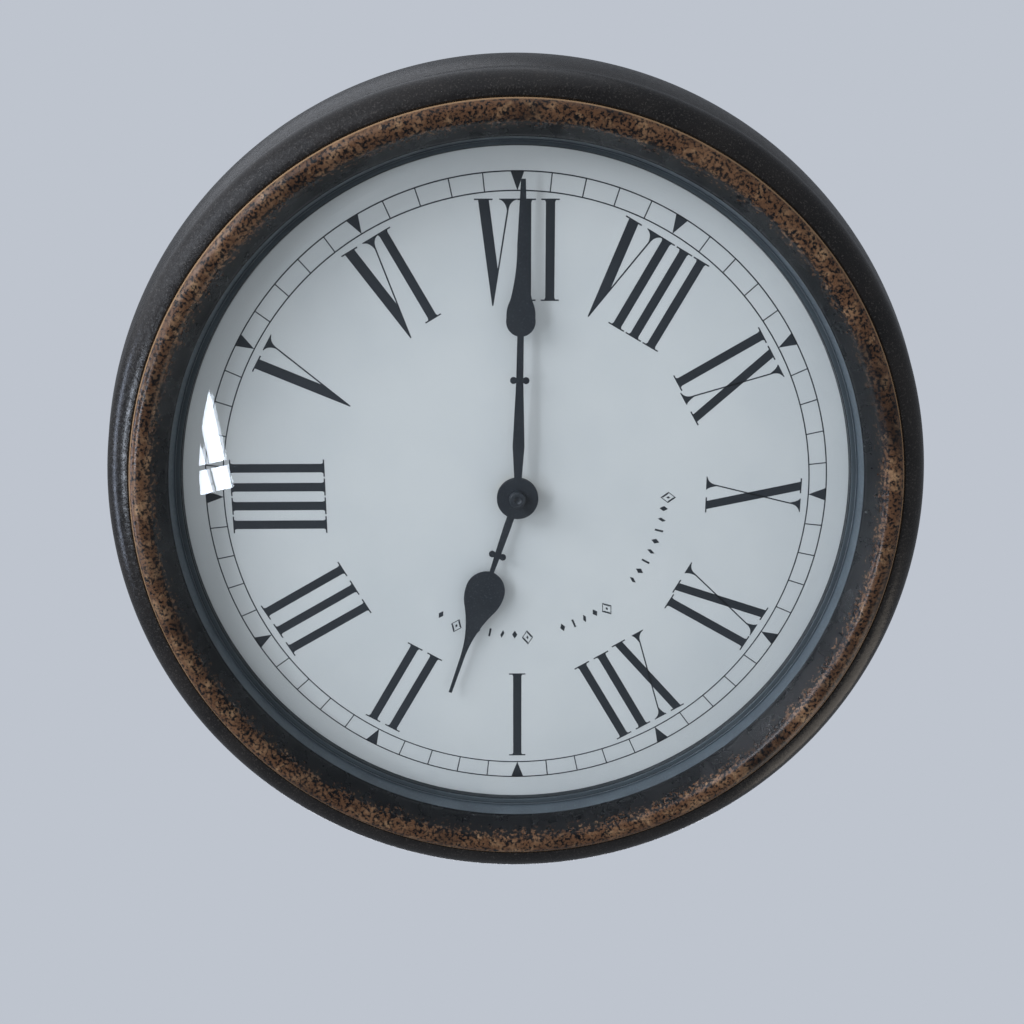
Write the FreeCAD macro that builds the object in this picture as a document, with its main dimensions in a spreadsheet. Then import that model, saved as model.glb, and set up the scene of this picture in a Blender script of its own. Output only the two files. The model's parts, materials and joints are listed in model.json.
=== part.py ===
import FreeCAD, Part
import math
import os
import re

import Sketcher

# A round wall clock: a domed glass in a turned bezel over a printed dial, with a quartz movement
# behind it. Every piece is drawn lying on its back in its own frame: x towards III, y towards XII
# and z forward from the wall, with the arbor at x = y = 0 and the rear rim at z = 0. STAND_UP then
# stands it upright, so that in the finished clock +Z is up, -Y faces the viewer and +X is towards III.

doc = FreeCAD.newDocument("wall_clock")
STAND_UP = FreeCAD.Rotation(FreeCAD.Vector(1, 0, 0), 90)
FORWARD = FreeCAD.Vector(0, 0, 1)

# ---------------------------------------------------------------- driving dimensions, millimetres
SIZES = {
    # case, from the wall forward
    "rim_radius": 190.8, "rim_inner": 187.6, "rim_round": 1.2, "drum_bulge": 130.0,
    "drum_skin": 3.0, "shoulder_radius": 178.6, "shoulder_round": 0.8, "web_back": 49.6,
    "web_front": 52.0, "web_outer": 175.4, "collar_inner": 155.5, "collar_outer": 160.0,
    "collar_back": 43.2, "flange_radius": 178.0, "flange_edge": 1.3, "flange_round": 13.5,
    "flange_top": 66.8, "groove_radius": 165.4, "bezel_seat": 56.8, "bezel_outer": 165.0,
    "bead_outer_lift": 67.4, "bead_radius": 5.0, "bead_inner": 155.8, "bead_inner_lift": 66.4,
    "lip_round": 1.2, "lip_top": 58.1, "lip_foot": 57.2, "lip_radius": 151.9,
    # dial opening
    "wall_radius": 151.5, "wall_outer": 153.5, "ledge_radius": 148.9, "ledge_thick": 2.8,
    "base_radius": 162.0, "base_inner": 151.2, "dial_face": 42.0, "dial_thick": 0.8,
    "dial_radius": 151.0, "backing_thick": 3.0, "centre_hole": 4.1,
    # glass and its channel
    "glass_radius": 150.8, "glass_edge": 2.4, "glass_foot": 149.9, "glass_thick": 2.5,
    "glass_crown": 69.5, "channel_inner": 149.2, "channel_outer": 151.4, "channel_wall": 0.4,
    "channel_floor": 1.0, "channel_height": 3.8,
    # back board and hanger
    "board_radius": 186.6, "board_back": 3.0, "board_thick": 3.0, "board_opening": 55.0,
    "post_circle": 170.0, "post_radius": 4.5, "post_count": 6.0, "hanger_height": 150.0,
    "hanger_thick": 1.2, "hanger_half_width": 20.0, "hanger_half_height": 14.0,
    "hanger_round": 3.0,
    "keyhole_radius": 4.5, "keyhole_drop": 2.0, "nail_slot": 2.25, "slot_top": 9.0,
    "window_half_width": 8.0, "window_half_height": 11.0, "hanger_screw_offset": 14.0,
    "bumper_radius": 7.0, "bumper_across": 100.0, "bumper_down": 130.0,
    # screws
    "screw_hole": 1.7, "screw_core": 1.25, "screw_head": 3.2, "head_height": 1.8,
    "hanger_head_height": 1.2, "recess_half": 1.6, "recess_blade": 0.35, "recess_deep": 0.8,
    "flange_circle": 168.0, "backing_circle": 157.75, "board_screw_long": 13.0,
    "flange_screw_long": 10.4, "backing_screw_long": 11.8, "hanger_screw_long": 3.7,
    # movement housing
    "housing_half": 28.0, "housing_round": 2.0, "housing_deep": 16.0, "housing_wall": 1.2,
    "housing_front_wall": 1.4, "train_floor": -10.2, "bay_top": -11.4, "lid_gap": 0.1,
    "lid_thick": 1.4, "bush_radius": 3.9, "bush_long": 8.4, "bush_bore": 2.65,
    "gasket_thick": 1.0, "gasket_radius": 12.0, "nut_half_flats": 6.0, "nut_thick": 2.5,
    "washer_radius": 8.0, "washer_thick": 0.5, "washer_play": 0.1, "pivot_radius": 0.5, "pivot_play": 0.05,
    "pivot_deep": 1.0, "pivot_reach": 0.8, "board_post_radius": 1.2, "stator_post_radius": 1.0,
    "stator_post_left": -24.5, "stator_post_low": 15.0, "stator_post_right": -3.0,
    "stator_post_high": 22.4, "circuit_post_across": -24.5, "circuit_post_low": -8.0,
    "circuit_post_high": 9.5,
    # train: module is the pitch diameter over the tooth count
    "fine_module": 0.25, "middle_module": 0.3, "hand_module": 0.5, "leaf_count": 8.0,
    "cannon_leaves": 10.0, "hour_teeth": 32.0, "minute_teeth": 30.0, "centre_teeth": 64.0,
    "third_teeth": 60.0, "second_teeth": 40.0, "step_teeth": 48.0,
    "minute_bearing": 135.0, "third_bearing": 30.0, "second_bearing": 100.0,
    "step_bearing": 150.0, "rotor_bearing": 175.0,
    "arbor_radius": 1.55, "arbor_tail": 1.0, "arbor_tip": 51.0, "arbor_shoulder": 27.6,
    "pipe_radius": 2.6, "pipe_tip": 47.2, "running_play": 0.05, "clutch_play": 0.03,
    "magnet_radius": 3.0, "magnet_foot": 28.9, "magnet_tip": 31.5, "rotor_leaf_foot": 27.3,
    "step_leaf_foot": 23.3, "step_leaf_tip": 24.9, "step_foot": 27.6, "step_tip": 28.6,
    "stem_radius": 0.8, "second_foot": 23.6, "second_tip": 24.6, "second_leaf_tip": 27.1,
    "third_foot": 25.6, "third_tip": 26.8, "third_leaf_tip": 29.8, "centre_foot": 28.2,
    "centre_tip": 29.4, "boss_foot": 27.8, "boss_tip": 30.4, "boss_radius": 2.45,
    "collar_radius": 2.15, "collar_thick": 0.5, "cannon_foot": 31.6, "cannon_tip": 33.4,
    "minute_foot": 31.9, "minute_tip": 33.1, "minute_leaf_tip": 35.4, "hour_foot": 34.0,
    "hour_tip": 35.2,
    # electric parts
    "stator_foot": 29.8, "stator_thick": 0.8, "stator_hole": 3.5, "stator_left": -25.8,
    "stator_right": -1.6, "stator_low": 12.8, "stator_high": 25.2, "core_low": 23.2,
    "slot_low": 21.4, "slot_left": -23.2, "slot_right": -4.4, "coil_radius": 2.2,
    "coil_flange": 2.5, "coil_cheek": 0.8, "coil_gap": 0.4, "circuit_foot": 24.0,
    "circuit_thick": 0.8, "circuit_left": -26.0, "circuit_right": -10.5, "circuit_low": -9.6,
    "circuit_high": 11.0, "crystal_radius": 1.0, "crystal_long": 6.0, "crystal_across": -20.0,
    "chip_foot_radius": 3.0, "chip_top_radius": 2.2, "chip_height": 0.9, "chip_across": -17.0,
    "chip_up": 5.5,
    "knob_radius": 5.5, "knob_back": 17.2, "knob_thick": 3.6, "knob_notches": 24.0,
    "notch_radius": 0.45, "notch_offset": 0.1, "knob_base": 0.6,
    "cell_radius": 7.1, "cell_long": 49.5, "cell_height": -19.1, "cell_forward": 28.4,
    "cell_left": -25.0, "nub_radius": 2.7, "nub_long": 1.0, "cell_round": 0.8,
    "dish_deep": 0.4, "dish_inner": 3.0, "dish_outer": 3.4, "contact_thick": 0.4,
    "contact_wide": 11.0, "contact_tall": 10.0, "contact_boss": 2.0, "contact_gap": 0.1,
    # hands, at rest at 1:35
    "hour_angle": 48.6, "minute_angle": 211.0, "hour_lift": 46.0, "minute_lift": 48.2,
    "hand_thick": 0.6, "hub_radius": 9.2, "bar_middle": 1.9, "bar_end": 1.5, "cap_radius": 3.75,
    "cap_height": 3.0, "cap_round": 0.9, "dimple_radius": 1.7, "dimple_arc": 2.4,
    "dimple_deep": 0.7,
}

sheet = doc.addObject("Spreadsheet::Sheet", "Sizes")
for row, (alias, number) in enumerate(SIZES.items(), start=1):
    sheet.set("A%d" % row, alias)
    sheet.set("B%d" % row, str(number))
    sheet.setAlias("B%d" % row, alias)
doc.recompute()

pieces = []


# ---------------------------------------------------------------- helpers
def rule(text):
    """An expression in which every size's name points at its cell of the sheet."""
    return re.sub("[a-z_]+", lambda m: "Sizes." + m.group() if m.group() in SIZES else m.group(), text)


def value(text):
    """The number that a rule comes to."""
    return float(sheet.evalExpression(rule(text)))


def finish(piece, label, x=0.0, y=0.0, z=0.0, turn=None):
    """Name a finished piece and stand it up, with its own origin at x, y, z of the clock."""
    piece.Label = label
    own = turn if turn is not None else FreeCAD.Rotation()
    lying = FreeCAD.Placement(FreeCAD.Vector(x, y, z), own)
    piece.Placement = FreeCAD.Placement(FreeCAD.Vector(), STAND_UP).multiply(lying)
    pieces.append(piece)


def new_body(label):
    body = doc.addObject("PartDesign::Body", label + "_body")
    body.AllowCompound = True
    return body


def new_sketch(body, role, lift="0"):
    """A sketch on one of the body's own planes: XY for flat work, XZ for turned work."""
    sketch = body.newObject("Sketcher::SketchObject", "sketch")
    plane = [p for p in body.Origin.OriginFeatures if p.Role == role][0]
    sketch.AttachmentSupport = [(plane, "")]
    sketch.MapMode = "FlatFace"
    sketch.AttachmentOffset = FreeCAD.Placement(FreeCAD.Vector(0, 0, value(lift)), FreeCAD.Rotation())
    sketch.setExpression("AttachmentOffset.Base.z", rule(lift))
    return sketch


def bind_point(sketch, edge, end, x_rule, y_rule):
    """Hold one end of an edge at x, y."""
    for kind, text in (("DistanceX", x_rule), ("DistanceY", y_rule)):
        index = sketch.addConstraint(Sketcher.Constraint(kind, -1, 1, edge, end, value(text)))
        name = "%s_%d" % (kind, index)
        sketch.renameConstraint(index, name)
        sketch.setExpression("Constraints." + name, rule(text))


def bind_radius(sketch, edge, text):
    index = sketch.addConstraint(Sketcher.Constraint("Radius", edge, value(text)))
    name = "radius_%d" % index
    sketch.renameConstraint(index, name)
    sketch.setExpression("Constraints." + name, rule(text))


def arc_between(start, end, radius, turn):
    """An arc from start to end that turns left (turn = 1) or right (turn = -1)."""
    chord = end - start
    half = chord.Length / 2
    left = FreeCAD.Vector(-chord.y, chord.x, 0).normalize()
    rise = math.sqrt(max(radius ** 2 - half ** 2, 0.0))
    centre = (start + end) * 0.5 + left * (turn * rise)
    first, last = (start, end) if turn > 0 else (end, start)
    begin = math.atan2(first.y - centre.y, first.x - centre.x)
    stop = math.atan2(last.y - centre.y, last.x - centre.x)
    return Part.ArcOfCircle(Part.Circle(centre, FORWARD, radius), begin, stop)


def outline(sketch, corners):
    """A closed outline. A corner is (x, y), or (x, y, radius, turn) where an arc leaves it."""
    points = [FreeCAD.Vector(value(c[0]), value(c[1]), 0) for c in corners]
    first = sketch.GeometryCount
    count = len(corners)
    for i, corner in enumerate(corners):
        start, end = points[i], points[(i + 1) % count]
        if len(corner) == 2:
            sketch.addGeometry(Part.LineSegment(start, end), False)
        else:
            sketch.addGeometry(arc_between(start, end, value(corner[2]), corner[3]), False)
    starts = [2 if len(c) == 4 and c[3] < 0 else 1 for c in corners]
    for i in range(count):
        following = (i + 1) % count
        sketch.addConstraint(Sketcher.Constraint(
            "Coincident", first + i, 3 - starts[i], first + following, starts[following]))
    for i, corner in enumerate(corners):
        bind_point(sketch, first + i, starts[i], corner[0], corner[1])
        if len(corner) == 4:
            bind_radius(sketch, first + i, corner[2])


def circle(sketch, radius, x="0", y="0"):
    edge = sketch.addGeometry(Part.Circle(FreeCAD.Vector(value(x), value(y), 0), FORWARD, value(radius)), False)
    bind_point(sketch, edge, 3, x, y)
    bind_radius(sketch, edge, radius)


def rectangle(sketch, left, low, right, high):
    outline(sketch, [(left, low), (right, low), (right, high), (left, high)])


def rounded_rectangle(sketch, left, low, right, high, radius):
    outline(sketch, [
        ("%s + %s" % (left, radius), low), ("%s - %s" % (right, radius), low, radius, 1),
        (right, "%s + %s" % (low, radius)), (right, "%s - %s" % (high, radius), radius, 1),
        ("%s - %s" % (right, radius), high), ("%s + %s" % (left, radius), high, radius, 1),
        (left, "%s - %s" % (high, radius)), (left, "%s + %s" % (low, radius), radius, 1)])


def pad(body, sketch, length):
    feature = body.newObject("PartDesign::Pad", "pad")
    feature.Profile = sketch
    feature.Length = value(length)
    feature.setExpression("Length", rule(length))
    doc.recompute()
    return feature


def pocket(body, sketch, length):
    """Cut from the sketch towards the wall, and make sure that something was cut."""
    before = body.Shape.Volume
    feature = body.newObject("PartDesign::Pocket", "pocket")
    feature.Profile = sketch
    feature.Length = value(length)
    feature.setExpression("Length", rule(length))
    doc.recompute()
    assert body.Shape.Volume < before - 1e-3, "a pocket in %s cut nothing" % body.Name
    return feature


def turned(label, corners):
    """A body of revolution about z through the closed outline (radius, z)."""
    body = new_body(label)
    sketch = new_sketch(body, "XZ_Plane")
    outline(sketch, corners)
    feature = body.newObject("PartDesign::Revolution", "turning")
    feature.Profile = sketch
    feature.ReferenceAxis = (sketch, ["V_Axis"])
    feature.Angle = 360
    doc.recompute()
    return body


def around(body, features, count):
    """Repeat features evenly about z."""
    pattern = body.newObject("PartDesign::PolarPattern", "ring")
    pattern.Originals = features
    axis = [p for p in body.Origin.OriginFeatures if p.Role == "Z_Axis"][0]
    pattern.Axis = (axis, [""])
    pattern.Angle = 360
    pattern.Occurrences = int(value(count))
    pattern.setExpression("Occurrences", rule(count))
    body.Tip = pattern
    doc.recompute()


def round_holes(body, radius, lift, depth, places):
    """Cut round holes from lift towards the wall at each (x, y)."""
    sketch = new_sketch(body, "XY_Plane", lift)
    for x, y in places:
        circle(sketch, radius, x, y)
    return pocket(body, sketch, depth)


def ring_holes(body, radius, lift, depth, place):
    """Cut one ring of holes, one for each post, starting at place."""
    around(body, [round_holes(body, radius, lift, depth, [place])], "post_count")


def half_way(text):
    """A point on a ring half way between two posts: 30 degrees round from x."""
    return ("(%s)*cos(180/post_count)" % text, "(%s)*sin(180/post_count)" % text)


def disc(label, radius, hole, foot, thick):
    body = new_body(label)
    sketch = new_sketch(body, "XY_Plane", foot)
    circle(sketch, radius)
    if hole:
        circle(sketch, hole)
    pad(body, sketch, thick)
    return body


# ---------------------------------------------------------------- case
finish(turned("case_drum", [
    ("rim_inner", "0"), ("rim_radius - rim_round", "0", "rim_round", 1),
    ("rim_radius", "rim_round", "drum_bulge", 1),
    ("shoulder_radius", "web_front - shoulder_round", "shoulder_round", 1),
    ("shoulder_radius - shoulder_round", "web_front"), ("web_outer", "web_front"),
    ("web_outer", "web_back", "drum_bulge - drum_skin", -1)]), "case_drum")

# the ring that joins the drum, the front mouldings and the dial, and the posts for the back board
mounting = turned("mounting_ring", [
    ("collar_inner", "collar_back"), ("collar_outer", "collar_back"), ("collar_outer", "web_back"),
    ("web_outer", "web_back"), ("web_outer", "web_front"), ("collar_inner", "web_front")])
ring_holes(mounting, "screw_hole", "web_front", "web_front - web_back", half_way("flange_circle"))
ring_holes(mounting, "screw_core", "web_front - 1", "web_front - 1 - collar_back", half_way("backing_circle"))
finish(mounting, "mounting_ring")

posts = new_body("spacer_posts")
tube = new_sketch(posts, "XY_Plane", "board_back + board_thick")
circle(tube, "post_radius", "post_circle")
circle(tube, "screw_core", "post_circle")
around(posts, [pad(posts, tube, "web_back - board_back - board_thick")], "post_count")
finish(posts, "spacer_posts")

flange = turned("case_flange", [
    ("collar_inner", "web_front"), ("flange_radius", "web_front"),
    ("flange_radius", "web_front + flange_edge", "flange_round", 1),
    ("groove_radius", "flange_top"), ("groove_radius", "bezel_seat"), ("collar_inner", "bezel_seat")])
ring_holes(flange, "screw_core", "web_front + 9", "9", half_way("flange_circle"))
finish(flange, "case_flange")

bezel = turned("bezel_ring", [
    ("wall_radius", "bezel_seat"), ("bezel_outer", "bezel_seat"),
    ("bezel_outer", "bead_outer_lift", "bead_radius", 1), ("bead_inner", "bead_inner_lift"),
    ("lip_radius", "lip_top", "lip_round", 1), ("wall_radius", "lip_foot")])
finish(bezel, "bezel_ring")

inner = turned("inner_ring", [
    ("base_inner", "dial_face - dial_thick"), ("base_radius", "dial_face - dial_thick"),
    ("base_radius", "collar_back"), ("wall_outer", "collar_back"), ("wall_outer", "bezel_seat"),
    ("wall_radius", "bezel_seat"), ("wall_radius", "dial_face + ledge_thick"),
    ("ledge_radius", "dial_face + ledge_thick"), ("ledge_radius", "dial_face"),
    ("base_inner", "dial_face")])
ring_holes(inner, "screw_hole", "collar_back", "2", half_way("backing_circle"))
finish(inner, "inner_ring")

# ---------------------------------------------------------------- glass and its rubber channel
finish(turned("glass_channel", [
    ("channel_inner", "dial_face + ledge_thick"), ("channel_outer", "dial_face + ledge_thick"),
    ("channel_outer", "dial_face + ledge_thick + channel_height"),
    ("channel_outer - channel_wall", "dial_face + ledge_thick + channel_height"),
    ("channel_outer - channel_wall", "dial_face + ledge_thick + channel_floor"),
    ("channel_inner", "dial_face + ledge_thick + channel_floor")]), "glass_channel")

GLASS_SEAT = "(dial_face + ledge_thick + channel_floor)"
OUTER_RISE = "(glass_crown - %s - glass_edge)" % GLASS_SEAT
INNER_RISE = "(glass_crown - glass_thick - %s)" % GLASS_SEAT
finish(turned("dome_glass", [
    ("0", "glass_crown - glass_thick", "(glass_foot^2 + %s^2)/(2*%s)" % (INNER_RISE, INNER_RISE), -1),
    ("glass_foot", GLASS_SEAT), ("glass_radius", GLASS_SEAT),
    ("glass_radius", GLASS_SEAT + " + glass_edge",
     "(glass_radius^2 + %s^2)/(2*%s)" % (OUTER_RISE, OUTER_RISE), 1),
    ("0", "glass_crown")]), "dome_glass")

# ---------------------------------------------------------------- dial, backing and back board
finish(disc("dial_plate", "dial_radius", "centre_hole", "dial_face - dial_thick", "dial_thick"), "dial_plate")

BACKING_BACK = "dial_face - dial_thick - backing_thick"
backing = disc("dial_backing", "base_radius", "centre_hole", BACKING_BACK, "backing_thick")
ring_holes(backing, "screw_hole", "dial_face - dial_thick", "backing_thick", half_way("backing_circle"))
finish(backing, "dial_backing")

BOARD_FRONT = "board_back + board_thick"
HANGER_SIDES = [("hanger_screw_offset", "hanger_height"), ("-hanger_screw_offset", "hanger_height")]
board = disc("back_board", "board_radius", "board_opening", "board_back", "board_thick")
ring_holes(board, "screw_hole", BOARD_FRONT, "board_thick", ("post_circle", "0"))
window = new_sketch(board, "XY_Plane", BOARD_FRONT)
rectangle(window, "-window_half_width", "hanger_height - window_half_height",
          "window_half_width", "hanger_height + window_half_height")
pocket(board, window, "board_thick")
round_holes(board, "screw_core", BOARD_FRONT, "board_thick", HANGER_SIDES)
finish(board, "back_board")

hanger = new_body("hanger_plate")
strip = new_sketch(hanger, "XY_Plane", "board_back - hanger_thick")
rounded_rectangle(strip, "-hanger_half_width", "hanger_height - hanger_half_height",
                  "hanger_half_width", "hanger_height + hanger_half_height", "hanger_round")
pad(hanger, strip, "hanger_thick")
keyhole = new_sketch(hanger, "XY_Plane", "board_back")
SHOULDER = "hanger_height - keyhole_drop + sqrt(keyhole_radius^2 - nail_slot^2)"
outline(keyhole, [
    ("nail_slot", SHOULDER), ("nail_slot", "hanger_height + slot_top - nail_slot", "nail_slot", 1),
    ("0", "hanger_height + slot_top", "nail_slot", 1),
    ("-nail_slot", "hanger_height + slot_top - nail_slot"), ("-nail_slot", SHOULDER, "keyhole_radius", 1),
    ("0", "hanger_height - keyhole_drop - keyhole_radius", "keyhole_radius", 1)])
pocket(hanger, keyhole, "hanger_thick")
round_holes(hanger, "screw_hole", "board_back", "hanger_thick", HANGER_SIDES)
finish(hanger, "hanger_plate")


def screw_at(body, place, seat, head, shank):
    """A cross-head screw driven forward from the back, its head's underside at seat."""
    x, y = place
    core = new_sketch(body, "XY_Plane", seat)
    circle(core, "screw_core", x, y)
    rod = pad(body, core, shank)
    cap = new_sketch(body, "XY_Plane", "%s - %s" % (seat, head))
    circle(cap, "screw_head", x, y)
    crown = pad(body, cap, head)
    features = [rod, crown]
    for across, along in (("recess_half", "recess_blade"), ("recess_blade", "recess_half")):
        slot = new_sketch(body, "XY_Plane", "%s - %s + recess_deep" % (seat, head))
        rectangle(slot, "%s - %s" % (x, across), "%s - %s" % (y, along),
                  "%s + %s" % (x, across), "%s + %s" % (y, along))
        features.append(pocket(body, slot, "recess_deep"))
    return features


for label, place, seat, shank in (
        ("board_screws", ("post_circle", "0"), "board_back", "board_screw_long"),
        ("flange_screws", half_way("flange_circle"), "web_back", "flange_screw_long"),
        ("backing_screws", half_way("backing_circle"), BACKING_BACK, "backing_screw_long")):
    ring = new_body(label)
    around(ring, screw_at(ring, place, seat, "head_height", shank), "post_count")
    finish(ring, label)

pair = new_body("hanger_screws")
for place in HANGER_SIDES:
    screw_at(pair, place, "board_back - hanger_thick", "hanger_head_height", "hanger_screw_long")
finish(pair, "hanger_screws")

bumpers = new_body("wall_bumpers")
feet = new_sketch(bumpers, "XY_Plane")
for side in ("-bumper_across", "bumper_across"):
    circle(feet, "bumper_radius", side, "-bumper_down")
pad(bumpers, feet, "board_back")
finish(bumpers, "wall_bumpers")

# ---------------------------------------------------------------- where the train's arbors stand
FRONT = "(dial_face - dial_thick - backing_thick - gasket_thick)"
BACK = "(%s - housing_deep)" % FRONT
TRAIN_TOP = "(%s - housing_front_wall)" % FRONT
TRAIN_FOOT = "(%s + lid_thick)" % BACK


def beyond(origin, distance, bearing):
    """The point at a distance and bearing (degrees from x) from another, as a pair of rules."""
    return ("%s + %s*cos(%s)" % (origin[0], distance, bearing),
            "%s + %s*sin(%s)" % (origin[1], distance, bearing))


CENTRE = ("0", "0")
MINUTE = beyond(CENTRE, "hand_module*(cannon_leaves + minute_teeth)/2", "minute_bearing")
THIRD = beyond(CENTRE, "fine_module*(leaf_count + centre_teeth)/2", "third_bearing")
SECOND = beyond(THIRD, "fine_module*(leaf_count + third_teeth)/2", "second_bearing")
STEP = beyond(SECOND, "middle_module*(leaf_count + second_teeth)/2", "step_bearing")
ROTOR = beyond(STEP, "fine_module*(leaf_count + step_teeth)/2", "rotor_bearing")
STATOR_POSTS = [("stator_post_left", "stator_post_low"), ("stator_post_right", "stator_post_high")]
CIRCUIT_POSTS = [("circuit_post_across", "circuit_post_low"), ("circuit_post_across", "circuit_post_high")]

# ---------------------------------------------------------------- movement housing
housing = new_body("movement_housing")
block = new_sketch(housing, "XY_Plane", BACK)
rounded_rectangle(block, "-housing_half", "-housing_half", "housing_half", "housing_half", "housing_round")
pad(housing, block, "housing_deep")
INSIDE = "(housing_half - housing_wall)"
for low, high in (("train_floor", INSIDE), ("-" + INSIDE, "bay_top")):
    room = new_sketch(housing, "XY_Plane", TRAIN_TOP)
    rectangle(room, "-" + INSIDE, low, INSIDE, high)
    pocket(housing, room, "housing_deep - housing_front_wall")
for places, reach, radius in (
        (STATOR_POSTS, "stator_foot + stator_thick", "stator_post_radius"),
        (CIRCUIT_POSTS, "circuit_foot + circuit_thick", "board_post_radius")):
    stubs = new_sketch(housing, "XY_Plane", reach)
    for x, y in places:
        circle(stubs, radius, x, y)
    pad(housing, stubs, "%s - %s" % (TRAIN_TOP, reach))
round_holes(housing, "pivot_radius + pivot_play", TRAIN_TOP + " + pivot_deep", "pivot_deep",
            [MINUTE, THIRD, SECOND, STEP, ROTOR])
bush = new_sketch(housing, "XY_Plane", FRONT)
circle(bush, "bush_radius")
pad(housing, bush, "bush_long")
round_holes(housing, "bush_bore", FRONT + " + bush_long", "bush_long + housing_front_wall", [CENTRE])
finish(housing, "movement_housing")

lid = new_body("movement_lid")
sheet_of_lid = new_sketch(lid, "XY_Plane", BACK)
rectangle(sheet_of_lid, "lid_gap - " + INSIDE, "train_floor + lid_gap",
          INSIDE + " - lid_gap", INSIDE + " - lid_gap")
pad(lid, sheet_of_lid, "lid_thick")
round_holes(lid, "pivot_radius + pivot_play", TRAIN_FOOT, "pivot_deep", [THIRD, SECOND, STEP, ROTOR])
round_holes(lid, "arbor_tail + pivot_play", TRAIN_FOOT, "pivot_deep", [CENTRE])
round_holes(lid, "arbor_tail + pivot_play", TRAIN_FOOT, "lid_thick", [MINUTE])
finish(lid, "movement_lid")

finish(disc("rubber_washer", "gasket_radius", "centre_hole", FRONT, "gasket_thick"), "rubber_washer")
finish(disc("nut_washer", "washer_radius", "bush_radius + washer_play", "dial_face", "washer_thick"),
       "nut_washer")

nut = new_body("fixing_nut")
flats = new_sketch(nut, "XY_Plane", "dial_face + washer_thick")
NUT_CORNER = "nut_half_flats/cos(30)"
outline(flats, [("%s*cos(%d)" % (NUT_CORNER, a), "%s*sin(%d)" % (NUT_CORNER, a)) for a in range(0, 360, 60)])
circle(flats, "bush_radius")
pad(nut, flats, "nut_thick")
finish(nut, "fixing_nut")

# ---------------------------------------------------------------- toothed wheels
WHEEL_TOOTH = [(-1.0, 0.79), (0.0, 0.76), (0.45, 0.60), (0.85, 0.32)]
PINION_LEAF = [(-1.5, 0.36), (0.0, 0.50), (0.4, 0.36), (0.6, 0.12)]


def toothed_disc(teeth, module, tooth, phase, foot, tip):
    """A toothed disc. Each tooth is (height above the pitch circle, half width), in modules."""
    pitch_radius = module * teeth / 2
    points = []
    for number in range(int(teeth)):
        middle = math.radians(phase) + 2 * math.pi * number / teeth
        for side, steps in ((-1, tooth), (1, tooth[::-1])):
            for height, half_width in steps:
                radius = pitch_radius + height * module
                angle = middle + side * half_width * module / max(radius, pitch_radius)
                points.append(FreeCAD.Vector(radius * math.cos(angle), radius * math.sin(angle), foot))
    face = Part.Face(Part.makePolygon(points + points[:1]))
    return face.extrude(FreeCAD.Vector(0, 0, tip - foot))


def wheel_disc(teeth, module, bearing, foot, tip):
    """A wheel with a tooth pointing along bearing."""
    return toothed_disc(value(teeth), value(module), WHEEL_TOOTH, bearing, value(foot), value(tip))


def pinion_disc(leaves, module, bearing, foot, tip):
    """A pinion with a space pointing along bearing."""
    count = value(leaves)
    return toothed_disc(count, value(module), PINION_LEAF, bearing + 180 / count, value(foot), value(tip))


def shaft(radius, foot, tip):
    return Part.makeCylinder(value(radius), value(tip) - value(foot), FreeCAD.Vector(0, 0, value(foot)))


def wheel_piece(label, place, solids, bore=""):
    """A moulded wheel made of coaxial solids, with a bore through it if it runs on an arbor."""
    shape = solids[0].multiFuse(solids[1:]).removeSplitter()
    if bore:
        shape = shape.cut(shaft(bore, BACK, "arbor_tip"))
    piece = doc.addObject("Part::Feature", label)
    piece.Shape = shape
    finish(piece, label, value(place[0]), value(place[1]))


LOW_PIVOT = TRAIN_FOOT + " - pivot_reach"
HIGH_PIVOT = TRAIN_TOP + " + pivot_reach"
to_minute = value("minute_bearing")
to_third = value("third_bearing")
to_second = value("second_bearing")
to_step = value("step_bearing")
to_rotor = value("rotor_bearing")

wheel_piece("rotor", ROTOR, [
    pinion_disc("leaf_count", "fine_module", to_rotor + 180, "rotor_leaf_foot", "magnet_foot"),
    shaft("magnet_radius", "magnet_foot", "magnet_tip"),
    shaft("pivot_radius", LOW_PIVOT, HIGH_PIVOT)])
wheel_piece("step_wheel", STEP, [
    wheel_disc("step_teeth", "fine_module", to_rotor, "step_foot", "step_tip"),
    pinion_disc("leaf_count", "middle_module", to_step + 180, "step_leaf_foot", "step_leaf_tip"),
    shaft("stem_radius", "step_leaf_tip", "step_foot"),
    shaft("pivot_radius", LOW_PIVOT, HIGH_PIVOT)])
wheel_piece("second_wheel", SECOND, [
    wheel_disc("second_teeth", "middle_module", to_step, "second_foot", "second_tip"),
    pinion_disc("leaf_count", "fine_module", to_second + 180, "second_tip", "second_leaf_tip"),
    shaft("pivot_radius", LOW_PIVOT, HIGH_PIVOT)])
wheel_piece("third_wheel", THIRD, [
    wheel_disc("third_teeth", "fine_module", to_second, "third_foot", "third_tip"),
    pinion_disc("leaf_count", "fine_module", to_third + 180, "third_tip", "third_leaf_tip"),
    shaft("pivot_radius", LOW_PIVOT, HIGH_PIVOT)])
wheel_piece("centre_wheel", CENTRE, [
    wheel_disc("centre_teeth", "fine_module", to_third, "centre_foot", "centre_tip"),
    shaft("boss_radius", "boss_foot", "boss_tip")], "arbor_radius + clutch_play")
wheel_piece("minute_arbor", CENTRE, [
    shaft("arbor_radius", "arbor_shoulder", "arbor_tip"),
    pinion_disc("cannon_leaves", "hand_module", to_minute, "cannon_foot", "cannon_tip"),
    shaft("collar_radius", "arbor_shoulder - collar_thick", "arbor_shoulder"),
    shaft("arbor_tail", LOW_PIVOT, "arbor_shoulder")])
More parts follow.
